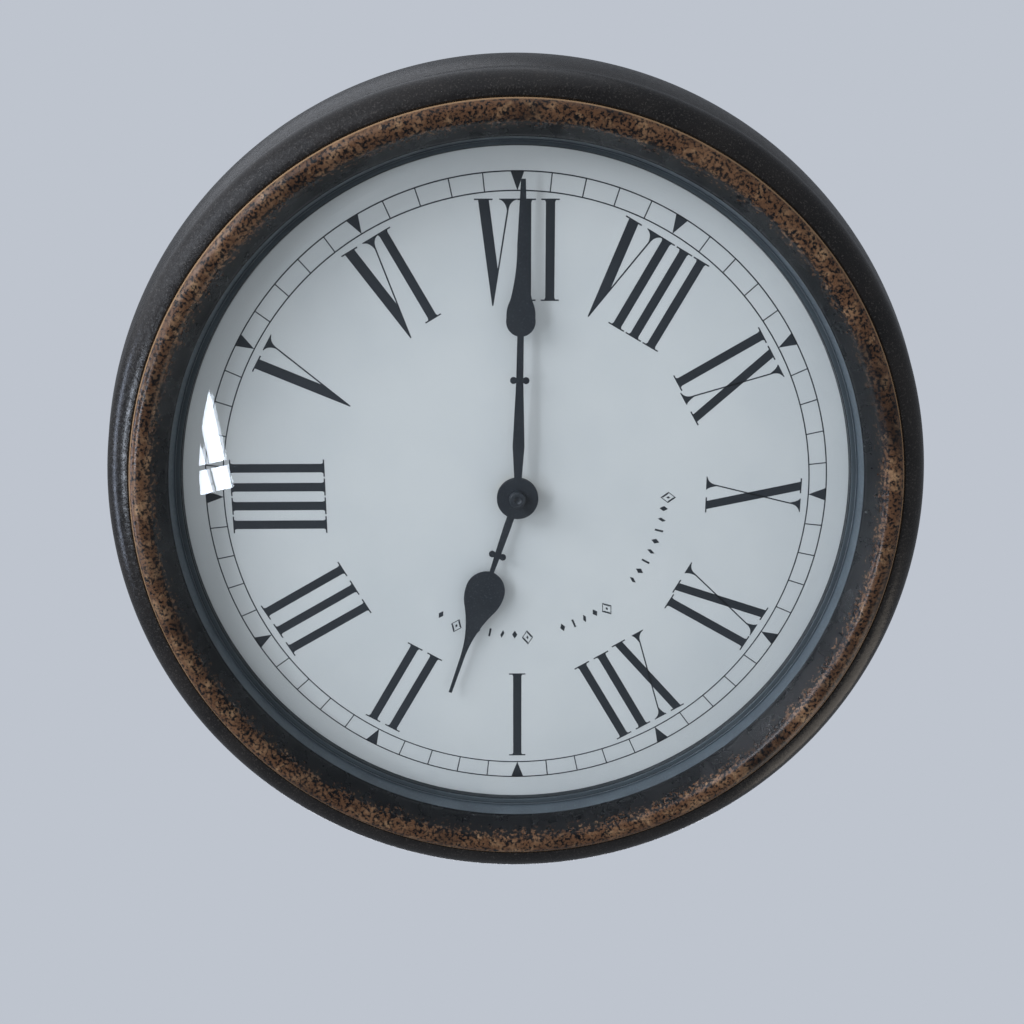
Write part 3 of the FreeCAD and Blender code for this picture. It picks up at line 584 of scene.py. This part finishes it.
def finished(name: str, mesh: bmesh.types.BMesh, body: str, look: Look | Extra,
             crease_degrees: float = 35.0) -> Object:
    """Turns a mesh into a piece that rides on a body and wears a finish.

    Args:
        name: the piece's name.
        mesh: its mesh, in metres.
        body: the CAD body it moves with.
        look: the finish it wears.
        crease_degrees: edges sharper than this stay crisp.

    Returns:
        The piece.
    """
    bmesh.ops.recalc_face_normals(mesh, faces=mesh.faces)
    data = bpy.data.meshes.new(name)
    mesh.to_mesh(data)
    mesh.free()
    data.shade_smooth()
    data.set_sharp_from_angle(angle=math.radians(crease_degrees))
    piece = bpy.data.objects.new(name, data)
    bpy.context.scene.collection.objects.link(piece)
    data.materials.append(dressed_in(look))
    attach(piece, body)
    log.info("%s: %d faces on %s, %s", name, len(data.polygons), body, look.value.name)
    return piece


def turned(profile: Outline, segments: int = 360,
           mesh: bmesh.types.BMesh | None = None) -> bmesh.types.BMesh:
    """Turns a closed profile about the arbor axis.

    Args:
        profile: radius and forward level of each corner. It may start and end on the axis.
        segments: how many runs go round.
        mesh: the mesh to add it to, or none for a new one.

    Returns:
        The mesh.
    """
    mesh = bmesh.new() if mesh is None else mesh
    rings: list[list[bmesh.types.BMVert]] = []
    for radius, level in profile:
        if radius < MM:
            rings.append([mesh.verts.new(on_dial(0, 0, level))])
            continue
        turns = [FULL_TURN * step / segments for step in range(segments)]
        rings.append([mesh.verts.new(on_dial(radius * math.sin(a), radius * math.cos(a), level))
                      for a in turns])
    for ring, after in zip(rings, rings[1:] + rings[:1]):
        for step in range(segments):
            follow = (step + 1) % segments
            corners = [ring[step % len(ring)], ring[follow % len(ring)],
                       after[follow % len(after)], after[step % len(after)]]
            unique = list(dict.fromkeys(corners))
            if len(unique) > 2:
                mesh.faces.new(unique)
    return mesh


def stamped(outlines: list[Outline], low: float, high: float) -> bmesh.types.BMesh:
    """Extrudes flat outlines between two levels.

    Args:
        outlines: closed outlines, towards III and towards XII.
        low: the lower level.
        high: the upper level.

    Returns:
        The mesh, one closed solid for each outline.
    """
    mesh = bmesh.new()
    for outline in outlines:
        below, above = [[mesh.verts.new(on_dial(x, up, level)) for x, up in outline]
                        for level in (low, high)]
        mesh.faces.new(above)
        mesh.faces.new(below[::-1])
        for i, corner in enumerate(below):
            follow = (i + 1) % len(below)
            mesh.faces.new([corner, below[follow], above[follow], above[i]])
    return mesh


def compare(piece: Object, node: str, slack_mm: float = 0.3) -> None:
    """Logs a warning where a piece isn't the size of the node that it stands for.

    Args:
        piece: the new piece.
        node: the CAD node.
        slack_mm: how far their boxes may differ.
    """
    low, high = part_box(node)
    corners = [Vector(c) for c in piece.bound_box]
    for axis in range(3):
        own = [c[axis] for c in corners]
        if max(abs(min(own) - low[axis]), abs(max(own) - high[axis])) > slack_mm * MM:
            log.warning("%s differs from %s along axis %d", piece.name, node, axis)


# -------------------------------------------- the case


@dataclass
class Case:
    """The turned resin case: a bulging drum behind, and a rounded moulding on its shoulder."""

    rear_radius: float = 190.8
    rear_round: float = 1.2
    rear_inner: float = 187.6
    bulge: float = 130.0
    inner_bulge: float = 127.0
    shoulder: Point = (178.6, 51.2)
    shoulder_round: float = 0.8
    top: float = 52.0
    web_outer: float = 175.4
    web_under: float = 49.6
    flange_inner: float = 155.5
    flange_outer: float = 178.0
    flange_edge: float = 53.3
    flange_curve: float = 13.5
    lip: Point = (165.4, 66.8)
    bezel_seat: float = 56.8
    edge_ease: float = 0.5
    small_steps: int = 6
    drum_steps: int = 40
    flange_steps: int = 28

    def drum(self) -> None:
        """Turns the drum that stands on the wall."""
        line = Line([(self.rear_inner, 0.0), (self.rear_radius - self.rear_round, 0.0)])
        line.arc((self.rear_radius, self.rear_round), self.rear_round, Side.RIGHT, self.small_steps)
        line.arc(self.shoulder, self.bulge, Side.RIGHT, self.drum_steps)
        line.arc((self.shoulder[0] - self.shoulder_round, self.top), self.shoulder_round, Side.RIGHT,
                 self.small_steps)
        line.to((self.web_outer, self.top), (self.web_outer, self.web_under))
        line.arc((self.rear_inner, 0.0), self.inner_bulge, Side.LEFT, self.drum_steps)
        piece = finished("drum_shell", turned(line.points[:-1]), "case", Look.CASE_PAINT)
        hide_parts("case_drum")
        compare(piece, "case_drum")

    def moulding(self) -> None:
        """Turns the rounded moulding round the bezel."""
        ease = self.edge_ease
        line = Line([(self.flange_inner, self.top), (self.flange_outer - ease, self.top)])
        line.arc((self.flange_outer, self.top + ease), ease, Side.RIGHT, EASE_STEPS)
        line.to((self.flange_outer, self.flange_edge))
        line.arc((self.lip[0] + ease, self.lip[1]), self.flange_curve, Side.RIGHT, self.flange_steps)
        line.arc((self.lip[0], self.lip[1] - ease), ease, Side.LEFT, EASE_STEPS)
        line.to((self.lip[0], self.bezel_seat), (self.flange_inner, self.bezel_seat))
        piece = finished("case_moulding", turned(line.points), "case", Look.CASE_PAINT)
        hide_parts("case_flange")
        compare(piece, "case_flange")

    def build(self) -> None:
        """Builds the drum and the moulding."""
        self.drum()
        self.moulding()


@dataclass
class Bezel:
    """The bronze bead, the slate ring inside it, the rubber channel and the domed glass."""

    seat: float = 56.8
    outer: float = 165.0
    outer_top: float = 67.4
    bead_round: float = 5.0
    bead_end: Point = (155.8, 66.4)
    slope_end: Point = (151.9, 58.1)
    throat_round: float = 1.2
    throat: Point = (151.5, 57.2)
    wall_outer: float = 153.5
    ledge_inner: float = 148.9
    ledge: Point = (42.0, 44.8)
    base_outer: float = 162.0
    base: Point = (41.2, 43.2)
    under_inner: float = 151.2
    ease: float = 0.25
    channel: Point = (149.2, 151.4)
    channel_floor: Point = (44.8, 45.8)
    channel_wall: float = 151.0
    channel_top: float = 48.6
    glass_rim: float = 150.8
    glass_foot: float = 45.8
    glass_foot_inner: float = 149.9
    glass_edge: float = 48.2
    crown: Point = (67.0, 69.5)
    bead_steps: int = 32
    slope_steps: int = 8
    throat_steps: int = 6
    bead_crease: float = 50.0
    glass_steps: int = 72
    glass_turns: int = 288

    def bead(self) -> None:
        """Turns the bezel ring with its bead."""
        line = Line([(self.throat[0], self.seat), (self.outer, self.seat), (self.outer, self.outer_top)])
        line.arc(self.bead_end, self.bead_round, Side.RIGHT, self.bead_steps)
        start, end = Vector(self.bead_end), Vector(self.slope_end)
        line.to(*[tuple(start.lerp(end, i / self.slope_steps)) for i in range(1, self.slope_steps + 1)])
        line.arc(self.throat, self.throat_round, Side.LEFT, self.throat_steps)
        piece = finished("bezel_bead", turned(line.points), "case", Look.BRONZE_PAINT,
                         self.bead_crease)
        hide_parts("bezel_ring")
        compare(piece, "bezel_ring")

    def slate_ring(self) -> None:
        """Turns the ring between the bead and the dial, with its ledge under the glass."""
        ease, low, high = self.ease, self.ledge[0], self.ledge[1]
        line = Line([(self.under_inner, self.base[0]), (self.base_outer, self.base[0])])
        line.to((self.base_outer, self.base[1]), (self.wall_outer, self.base[1]))
        line.to((self.wall_outer, self.seat), (self.throat[0] + ease, self.seat))
        line.arc((self.throat[0], self.seat - ease), ease, Side.LEFT, EASE_STEPS)
        line.to((self.throat[0], high), (self.ledge_inner + ease, high))
        line.arc((self.ledge_inner, high - ease), ease, Side.LEFT, EASE_STEPS)
        line.to((self.ledge_inner, low), (self.under_inner, low))
        piece = finished("slate_ring", turned(line.points), "case", Look.SLATE_PAINT)
        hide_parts("inner_ring")
        compare(piece, "inner_ring")

    def rubber(self) -> None:
        """Turns the rubber channel that holds the glass."""
        inner, outer = self.channel
        low, high = self.channel_floor
        line = Line([(inner, low), (outer, low), (outer, self.channel_top)])
        line.to((self.channel_wall, self.channel_top), (self.channel_wall, high), (inner, high))
        piece = finished("rubber_channel", turned(line.points), "case", Extra.GREY_RUBBER)
        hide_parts("glass_channel")
        compare(piece, "glass_channel")

    def glass(self) -> None:
        """Turns the domed glass. Lamps shine through it, so that the dial under it stays bright."""
        inside, outside = self.crown
        line = Line([(0.0, outside)])
        over = self.dome_radius(self.glass_rim, outside - self.glass_edge)
        line.arc((self.glass_rim, self.glass_edge), over, Side.LEFT, self.glass_steps)
        line.to((self.glass_rim, self.glass_foot), (self.glass_foot_inner, self.glass_foot))
        under = self.dome_radius(self.glass_foot_inner, inside - self.glass_foot)
        line.arc((0.0, inside), under, Side.RIGHT, self.glass_steps)
        mesh = turned(line.points, self.glass_turns)
        piece = finished("domed_glass", mesh, "case", Look.CLEAR_GLASS)
        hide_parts("dome_glass")
        compare(piece, "dome_glass")
        piece.visible_shadow = False
        piece.visible_diffuse = False

    @staticmethod
    def dome_radius(half_width: float, rise: float) -> float:
        """The sphere's radius for a cap of this half width and rise."""
        return (half_width ** 2 + rise ** 2) / (2 * rise)

    def build(self) -> None:
        """Builds the bezel's pieces."""
        self.bead()
        self.slate_ring()
        self.rubber()
        self.glass()


# -------------------------------------------- the dial


class Letter(Enum):
    """The three letters that Roman numerals up to twelve are set with."""

    I = "I"
    V = "V"
    X = "X"


@dataclass
class Numerals:
    """Tall condensed Roman numerals with hairline serifs, their feet to the centre."""

    top: float = 127.9
    foot: float = 85.8
    bar: float = 3.9
    serif_width: float = 7.75
    serif: float = 0.6
    ease: float = 0.8
    hairline: float = 0.6
    bracket: float = 4.2
    flare_edge: float = 0.36
    flare_pull: Point = (0.5, 0.7)
    flare_steps: int = 10
    # each stroke's corners, then where the hairline runs and how far the serifs reach
    v_stroke: Outline = ((-7.4, 127.3), (-2.85, 127.3), (0.75, 99.25), (4.7, 123.1), (5.35, 123.1),
                         (-1.2, 83.75), (-1.7, 83.75))
    v_hair: Point = (5.02, 123.1)
    v_hair_half: float = 0.33
    v_serif: Point = (-9.1, -1.3)
    v_hair_serif: Point = (1.4, 9.1)
    x_stroke: Outline = ((-5.8, 127.3), (-1.85, 127.3), (6.65, 85.5), (2.85, 85.5))
    x_hair: tuple[Point, Point] = ((5.1, 127.3), (-5.25, 85.5))
    x_top_serif: Point = (-7.4, -0.5)
    x_foot_serif: Point = (1.25, 8.25)
    x_hair_top_serif: Point = (2.0, 8.25)
    x_hair_foot_serif: Point = (-8.4, -2.4)
    settings: dict[int, list[tuple[Letter, float]]] = field(default_factory=lambda: {
        1: [(Letter.I, 0.0)],
        2: [(Letter.I, -5.175), (Letter.I, 5.175)],
        3: [(Letter.I, -10.35), (Letter.I, 0.0), (Letter.I, 10.35)],
        4: [(Letter.I, -12.975), (Letter.I, -4.325), (Letter.I, 4.325), (Letter.I, 12.975)],
        5: [(Letter.V, 0.0)],
        6: [(Letter.V, -3.25), (Letter.I, 7.9)],
        7: [(Letter.V, -9.1), (Letter.I, 3.9), (Letter.I, 13.9)],
        8: [(Letter.V, -11.7), (Letter.I, -0.4), (Letter.I, 8.3), (Letter.I, 16.9)],
        9: [(Letter.I, -8.4), (Letter.X, 4.4)],
        10: [(Letter.X, 0.0)],
        11: [(Letter.X, -4.0), (Letter.I, 8.7)],
        12: [(Letter.X, -10.06), (Letter.I, 4.5), (Letter.I, 14.75)],
    })

    def serif_at(self, ends: Point, level: float, inward: float) -> Outline:
        """A flat serif between its two ends, with its thickness going inward."""
        left, right = ends
        inner = level + inward * self.serif
        return [(left, level), (right, level), (right, inner), (left, inner)]

    def hollow(self, start: Point, corner: Point, end: Point) -> Outline:
        """The points of a hollow curve after its start, drawn towards a corner."""
        points: Outline = []
        for i in range(1, self.flare_steps + 1):
            t = i / self.flare_steps
            weights = ((1 - t) ** 2, 2 * t * (1 - t), t ** 2)
            points.append(tuple(sum(w * p[k] for w, p in zip(weights, (start, corner, end))) for k in (0, 1)))
        return points

    def flare(self, ends: Point, level: float, inward: float, stem: Point, half: float) -> Outline:
        """A serif that runs into a hairline by two hollow curves.

        Args:
            ends: its left and right ends.
            level: its outer edge.
            inward: 1 where the letter lies above it, -1 below.
            stem: where the curves meet the hairline.
            half: the hairline's half width there.

        Returns:
            The outline.
        """
        left, right = ends
        edge = level + inward * self.flare_edge
        pull = edge + inward * self.flare_pull[1]
        near, far = (stem[0] - half, stem[1]), (stem[0] + half, stem[1])
        return [(left, level), (right, level), (right, edge),
                *self.hollow((right, edge), (far[0] + self.flare_pull[0], pull), far), near,
                *self.hollow(near, (near[0] - self.flare_pull[0], pull), (left, edge))]

    def letter_i(self) -> list[Outline]:
        """A plain bar with a serif at each end and small eased corners."""
        half, wide, soft = self.bar / 2, self.serif_width / 2, (self.bar + self.ease) / 2
        head, heel = self.top - self.serif, self.foot + self.serif
        right = [(wide, self.top), (wide, head), (soft, head), (half, head - self.ease),
                 (half, heel + self.ease), (soft, heel), (wide, heel), (wide, self.foot)]
        return [right + [(-x, up) for x, up in reversed(right)]]

    def letter_v(self) -> list[Outline]:
        """A thick left stroke and a hairline right stroke that meet in a point."""
        return [self.v_stroke, self.serif_at(self.v_serif, self.top, -1.0),
                self.flare(self.v_hair_serif, self.top, -1.0, self.v_hair, self.v_hair_half)]

    def letter_x(self) -> list[Outline]:
        """A thick stroke and a hairline that cross, with the hairline's serifs flared."""
        (head, high), (heel, low) = self.x_hair
        slope = (head - heel) / (high - low)
        upper = (head - slope * self.bracket, high - self.bracket)
        lower = (heel + slope * self.bracket, low + self.bracket)
        half, sole = self.hairline / 2, low - self.serif
        thin = [(upper[0] - half, upper[1]), (upper[0] + half, upper[1]),
                (lower[0] + half, lower[1]), (lower[0] - half, lower[1])]
        return [self.x_stroke, thin, self.serif_at(self.x_top_serif, self.top, -1.0),
                self.serif_at(self.x_foot_serif, sole, 1.0),
                self.flare(self.x_hair_top_serif, self.top, -1.0, upper, half),
                self.flare(self.x_hair_foot_serif, sole, 1.0, lower, half)]

    def outlines(self) -> list[Outline]:
        """Sets all twelve numerals round the dial.

        Returns:
            Their outlines.
        """
        shapes = {Letter.I: self.letter_i(), Letter.V: self.letter_v(), Letter.X: self.letter_x()}
        out: list[Outline] = []
        for hour, letters in self.settings.items():
            angle = FULL_TURN * hour / HOURS
            for letter, shift in letters:
                for shape in shapes[letter]:
                    out.append(clockwise(angle, [(x + shift, up) for x, up in shape]))
        return out


@dataclass
class Dial:
    """The printed dial: plate, numerals, minute track, hour points and an ornament under XII."""

    radius: float = 151.0
    hole: float = 4.1
    under: float = 41.2
    face: float = 42.0
    print_thick: float = 0.04
    track_outer: float = 139.0
    track_inner: float = 131.2
    track_line: float = 0.55
    tick: float = 0.5
    point_width: float = 5.8
    face_runs: int = 12
    ornament_low: float = 64.5
    ornament_high: float = 71.5
    post: Outline = ((-0.45, 0.0), (0.45, 0.0), (0.45, 3.92), (-0.45, 3.92))
    lozenge: Outline = ((0.0, 0.0), (1.2, 1.96), (0.0, 3.92), (-1.2, 1.96))
    leaf: Outline = ((-0.2, 0.0), (0.9, 2.46), (0.2, 3.92), (-0.9, 1.46))
    open_half: float = 2.6
    open_weights: tuple[float, float] = (0.16, 0.36)
    seed_half: Point = (0.55, 0.9)
    ornament_groups: tuple[tuple[float, float, int], ...] = (
        (-59.0, -23.0, 9), (-7.5, 11.5, 5), (26.0, 46.0, 5), (54.5, 62.0, 2))

    def plate(self) -> None:
        """Turns the dial plate."""
        line = Line([(self.hole, self.under), (self.radius, self.under), (self.radius, self.face)])
        for i in range(1, self.face_runs + 1):
            line.to((self.radius + (self.hole - self.radius) * i / self.face_runs, self.face))
        piece = finished("dial_sheet", turned(line.points), "case", Look.DIAL_PAINT)
        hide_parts("dial_plate")
        compare(piece, "dial_plate")

    def printed(self, name: str, shapes: list[Outline], rings: Outline = ()) -> None:
        """Prints one layer of ink.

        Args:
            name: the layer's name.
            shapes: its flat outlines.
            rings: the inner and outer radius of each of its circles.
        """
        top = self.face + self.print_thick
        mesh = stamped(shapes, self.face, top)
        for inner, outer in rings:
            turned([(inner, self.face), (outer, self.face), (outer, top), (inner, top)], mesh=mesh)
        finished(name, mesh, "case", Extra.INK)

    def track(self) -> None:
        """Prints the two circles and the ticks between them, except on the hours."""
        half = self.tick / 2
        low, high = self.track_inner, self.track_outer
        ticks = [clockwise(FULL_TURN * i / MINUTES, [(-half, low), (half, low), (half, high), (-half, high)])
                 for i in range(MINUTES) if i % (MINUTES // HOURS)]
        line = self.track_line / 2
        self.printed("minute_track", ticks, [(low - line, low + line), (high - line, high + line)])

    def points(self) -> None:
        """Prints the solid triangles that mark the hours."""
        half = self.point_width / 2
        corners = [(-half, self.track_outer), (half, self.track_outer), (0.0, self.track_inner)]
        shapes = [clockwise(FULL_TURN * i / HOURS, corners) for i in range(HOURS)]
        self.printed("hour_points", shapes)

    def ornament(self) -> None:
        """Prints the small ornament: posts, lozenges and leaves on an arc, in groups.

        Each group is led by a larger lozenge drawn in line.
        """
        marks = [[(x, self.ornament_low + up) for x, up in mark]
                 for mark in (self.post, self.lozenge, self.leaf)]
        shapes: list[Outline] = []
        for start, end, count in self.ornament_groups:
            for i in range(count):
                angle = math.radians(start + (end - start) * i / (count - 1))
                drawn = [marks[i % len(marks)]] if i else self.open_lozenge()
                shapes += [clockwise(angle, mark) for mark in drawn]
        self.printed("dial_ornament", shapes)

    def open_lozenge(self) -> list[Outline]:
        """A lozenge in line, thick on two sides and thin on two, with a small one inside."""
        low, high, half = self.ornament_low, self.ornament_high, self.open_half
        middle = (low + high) / 2
        tips = [(0.0, low), (half, middle), (0.0, high), (-half, middle)]
        shapes: list[Outline] = []
        for i, (a, b) in enumerate(zip(tips, tips[1:] + tips[:1])):
            inward = 1 - self.open_weights[i % 2]
            shapes.append([a, b, *[(x * inward, middle + (up - middle) * inward) for x, up in (b, a)]])
        wide, tall = self.seed_half
        shapes.append([(0.0, middle - tall), (wide, middle), (0.0, middle + tall), (-wide, middle)])
        return shapes

    def build(self) -> None:
        """Builds the plate and its print."""
        self.plate()
        self.printed("dial_numerals", Numerals().outlines())
        self.track()
        self.points()
        self.ornament()


# -------------------------------------------- parts that keep their CAD shape


@dataclass
class KeptParts:
    """Everything whose CAD shape is right: it keeps it, with eased edges and the finish of its slot."""

    ease_mm: float = 0.12
    big_ease_mm: float = 0.35
    big: tuple[str, ...] = ("movement_housing", "movement_lid", "wall_bumpers", "battery")
    sharp: tuple[str, ...] = (
        "rotor", "step_wheel", "second_wheel", "third_wheel", "centre_wheel", "minute_wheel",
        "hour_wheel", "minute_arbor", "coil", "circuit_board", "setting_knob")
    sharpest_kept: float = 40.0

    def dress(self, node: str, slot: str) -> None:
        """Gives one node its finish, and eased edges where it has room for them.

        Args:
            node: the CAD node's name.
            slot: its material slot in the record.
        """
        piece = frame["nodes"][node]
        material = dressed_in(Look[slot.upper()])
        for holder in piece.material_slots:
            holder.link = "OBJECT"
            holder.material = material
        if node not in self.sharp:
            ease = piece.modifiers.new("eased_edges", "BEVEL")
            ease.width = (self.big_ease_mm if node in self.big else self.ease_mm) * MM
            ease.segments = 2
            ease.limit_method = "ANGLE"
            ease.angle_limit = math.radians(self.sharpest_kept)
            ease.harden_normals = True
        log.info("%s: keeps its shape, %s", node, slot)

    def build(self) -> None:
        """Dresses every node in the record."""
        for part in frame["record"]["subparts"]:
            self.dress(part["node"], part["material_slot"])


# -------------------------------------------- the studio


@dataclass(frozen=True)
class Lamp:
    """A soft rectangular light: its place and size in metres, power in watts and sRGB colour."""

    name: str
    place: Vector
    size: tuple[float, float]
    power: float
    colour: str


@dataclass
class Studio:
    """A pale floor, a soft window light in four panes, a broad dim fill, and the camera."""

    camera_place: Vector = field(default_factory=lambda: Vector((-46.8, -501.7, -100.0)) * MM)
    camera_ahead: Vector = field(default_factory=lambda: Vector((0.1112, 0.9686, 0.2225)))
    camera_up: Vector = field(default_factory=lambda: Vector((-0.4885, 0.2482, -0.8365)))
    lens: float = 36.88
    film: float = 36.0
    air: str = "#bec4ce"
    soft_glow: float = 0.86
    side_glow: float = 0.30
    front_glow: float = 0.20
    front_cone: tuple[float, float] = (0.45, 0.85)
    target: Vector = field(default_factory=lambda: Vector((0.0, -0.04, 0.0)))
    window_place: Vector = field(default_factory=lambda: Vector((1.21, -1.245, -0.55)))
    pane_width: float = 0.078
    pane_heights: tuple[float, float] = (0.10, 0.32)
    pane_gap: float = 0.022
    pane_glow: float = 22.0
    pane_colour: str = "#e6f0ff"
    lamps: tuple[Lamp, ...] = field(default_factory=lambda: (
        Lamp("side_glow", Vector((1.40, -0.16, -0.78)), (0.22, 1.1), 4.0, "#d9e6ff"),
        Lamp("sky", Vector((0.72, -0.70, -1.42)), (1.2, 0.8), 27.0, "#edf3ff"),
        Lamp("overhead", Vector((-0.5, -0.35, 1.5)), (1.2, 0.8), 3.0, "#fff2e2"),
        Lamp("behind", Vector((0.4, 1.5, 0.7)), (1.2, 1.2), 14.0, "#f4f7ff")))
    floor_level: float = -0.5
    floor_radius: float = 0.55
    floor_sides: int = 128
    nearest_seen: float = 0.02

    def facing(self, back: Vector) -> Matrix:
        """The turn of a camera or a lamp that looks away from back, its top to the camera's up."""
        side = self.camera_up.cross(back).normalized()
        return Matrix((side, back.cross(side), back)).transposed()

    def hang(self, lamp: Lamp) -> None:
        """Hangs one lamp so that it faces the dial."""
        light = bpy.data.lights.new(lamp.name, "AREA")
        light.shape = "RECTANGLE"
        light.size, light.size_y = lamp.size
        light.energy = lamp.power
        light.color = linear(lamp.colour)[:3]
        holder = bpy.data.objects.new(lamp.name, light)
        bpy.context.scene.collection.objects.link(holder)
        holder.visible_camera = False
        turn = self.facing((lamp.place - self.target).normalized())
        holder.matrix_world = Matrix.Translation(lamp.place) @ turn.to_4x4()

    def lights(self) -> None:
        """Hangs the window's four panes, the open sky beside it and the fill lights."""
        side, rise, _ = self.facing((self.window_place - self.target).normalized()).transposed()
        low, high = self.pane_heights
        for row, (height, lift) in enumerate(((low, -high / 2), (high, low / 2))):
            for column in (-0.5, 0.5):
                place = (self.window_place + side * column * (self.pane_width + self.pane_gap)
                         + rise * (lift + self.pane_gap * (row - 0.5)))
                power = self.pane_glow * math.pi * self.pane_width * height
                self.hang(Lamp(f"pane_{row}_{column}", place, (self.pane_width, height), power,
                               self.pane_colour))
        for lamp in self.lamps:
            self.hang(lamp)

    def floor(self) -> None:
        """Lays the round pale floor."""
        mesh = bmesh.new()
        bmesh.ops.create_circle(mesh, cap_ends=True, segments=self.floor_sides, radius=self.floor_radius,
                                matrix=Matrix.Translation((0.0, 0.0, self.floor_level)))
        data = bpy.data.meshes.new("studio_floor")
        mesh.to_mesh(data)
        mesh.free()
        data.materials.append(dressed_in(Extra.FLOOR))
        piece = bpy.data.objects.new("studio_floor", data)
        bpy.context.scene.collection.objects.link(piece)
        piece.visible_shadow = False

    def air_light(self) -> None:
        """Fills the room with pale light.

        The air itself is seen at its full pale colour. What shines sees a dimmer room, darkest in
        front of the dial, as if a curtain hung there, so the glass keeps its contrast.
        """
        world = bpy.data.worlds.new("studio_air")
        world.use_nodes = True
        shade = world.node_tree.nodes["Background"]
        shade.inputs["Color"].default_value = linear(self.air)
        ahead = add_node(world, "TexCoord").outputs["Generated"]
        front = add_node(world, "VectorMath", {"operation": "DOT_PRODUCT"}, {0: ahead, 1: (0.0, -1.0, 0.0)})
        glow = add_node(world, "MapRange", {"interpolation_type": "SMOOTHSTEP"}, {
            "Value": front.outputs["Value"], "From Min": self.front_cone[0], "From Max": self.front_cone[1],
            "To Min": self.side_glow, "To Max": self.front_glow})
        path = add_node(world, "LightPath")
        indirect = add_node(world, "MapRange", inputs={
            "Value": path.outputs["Is Glossy Ray"], "To Min": self.soft_glow,
            "To Max": glow.outputs["Result"]})
        strength = add_node(world, "MapRange", inputs={
            "Value": path.outputs["Is Camera Ray"], "To Min": indirect.outputs["Result"], "To Max": 1.0})
        world.node_tree.links.new(strength.outputs["Result"], shade.inputs["Strength"])
        bpy.context.scene.world = world

    def camera(self) -> None:
        """Sets the camera, rolled so that VII is at the top of its view."""
        data = bpy.data.cameras.new("camera")
        data.lens, data.sensor_width = self.lens, self.film
        data.clip_start = self.nearest_seen
        holder = bpy.data.objects.new("camera", data)
        bpy.context.scene.collection.objects.link(holder)
        turn = self.facing(-self.camera_ahead.normalized())
        holder.matrix_world = Matrix.Translation(self.camera_place) @ turn.to_4x4()
        bpy.context.scene.camera = holder

    def build(self) -> None:
        """Builds the studio round the clock."""
        bpy.context.scene.view_settings.view_transform = "Standard"
        self.camera()
        self.air_light()
        self.lights()
        self.floor()


def main() -> None:
    """Builds the studio and the clock."""
    Studio().build()
    KeptParts().build()
    Case().build()
    Bezel().build()
    Dial().build()


if __name__ == "__main__":
    main()
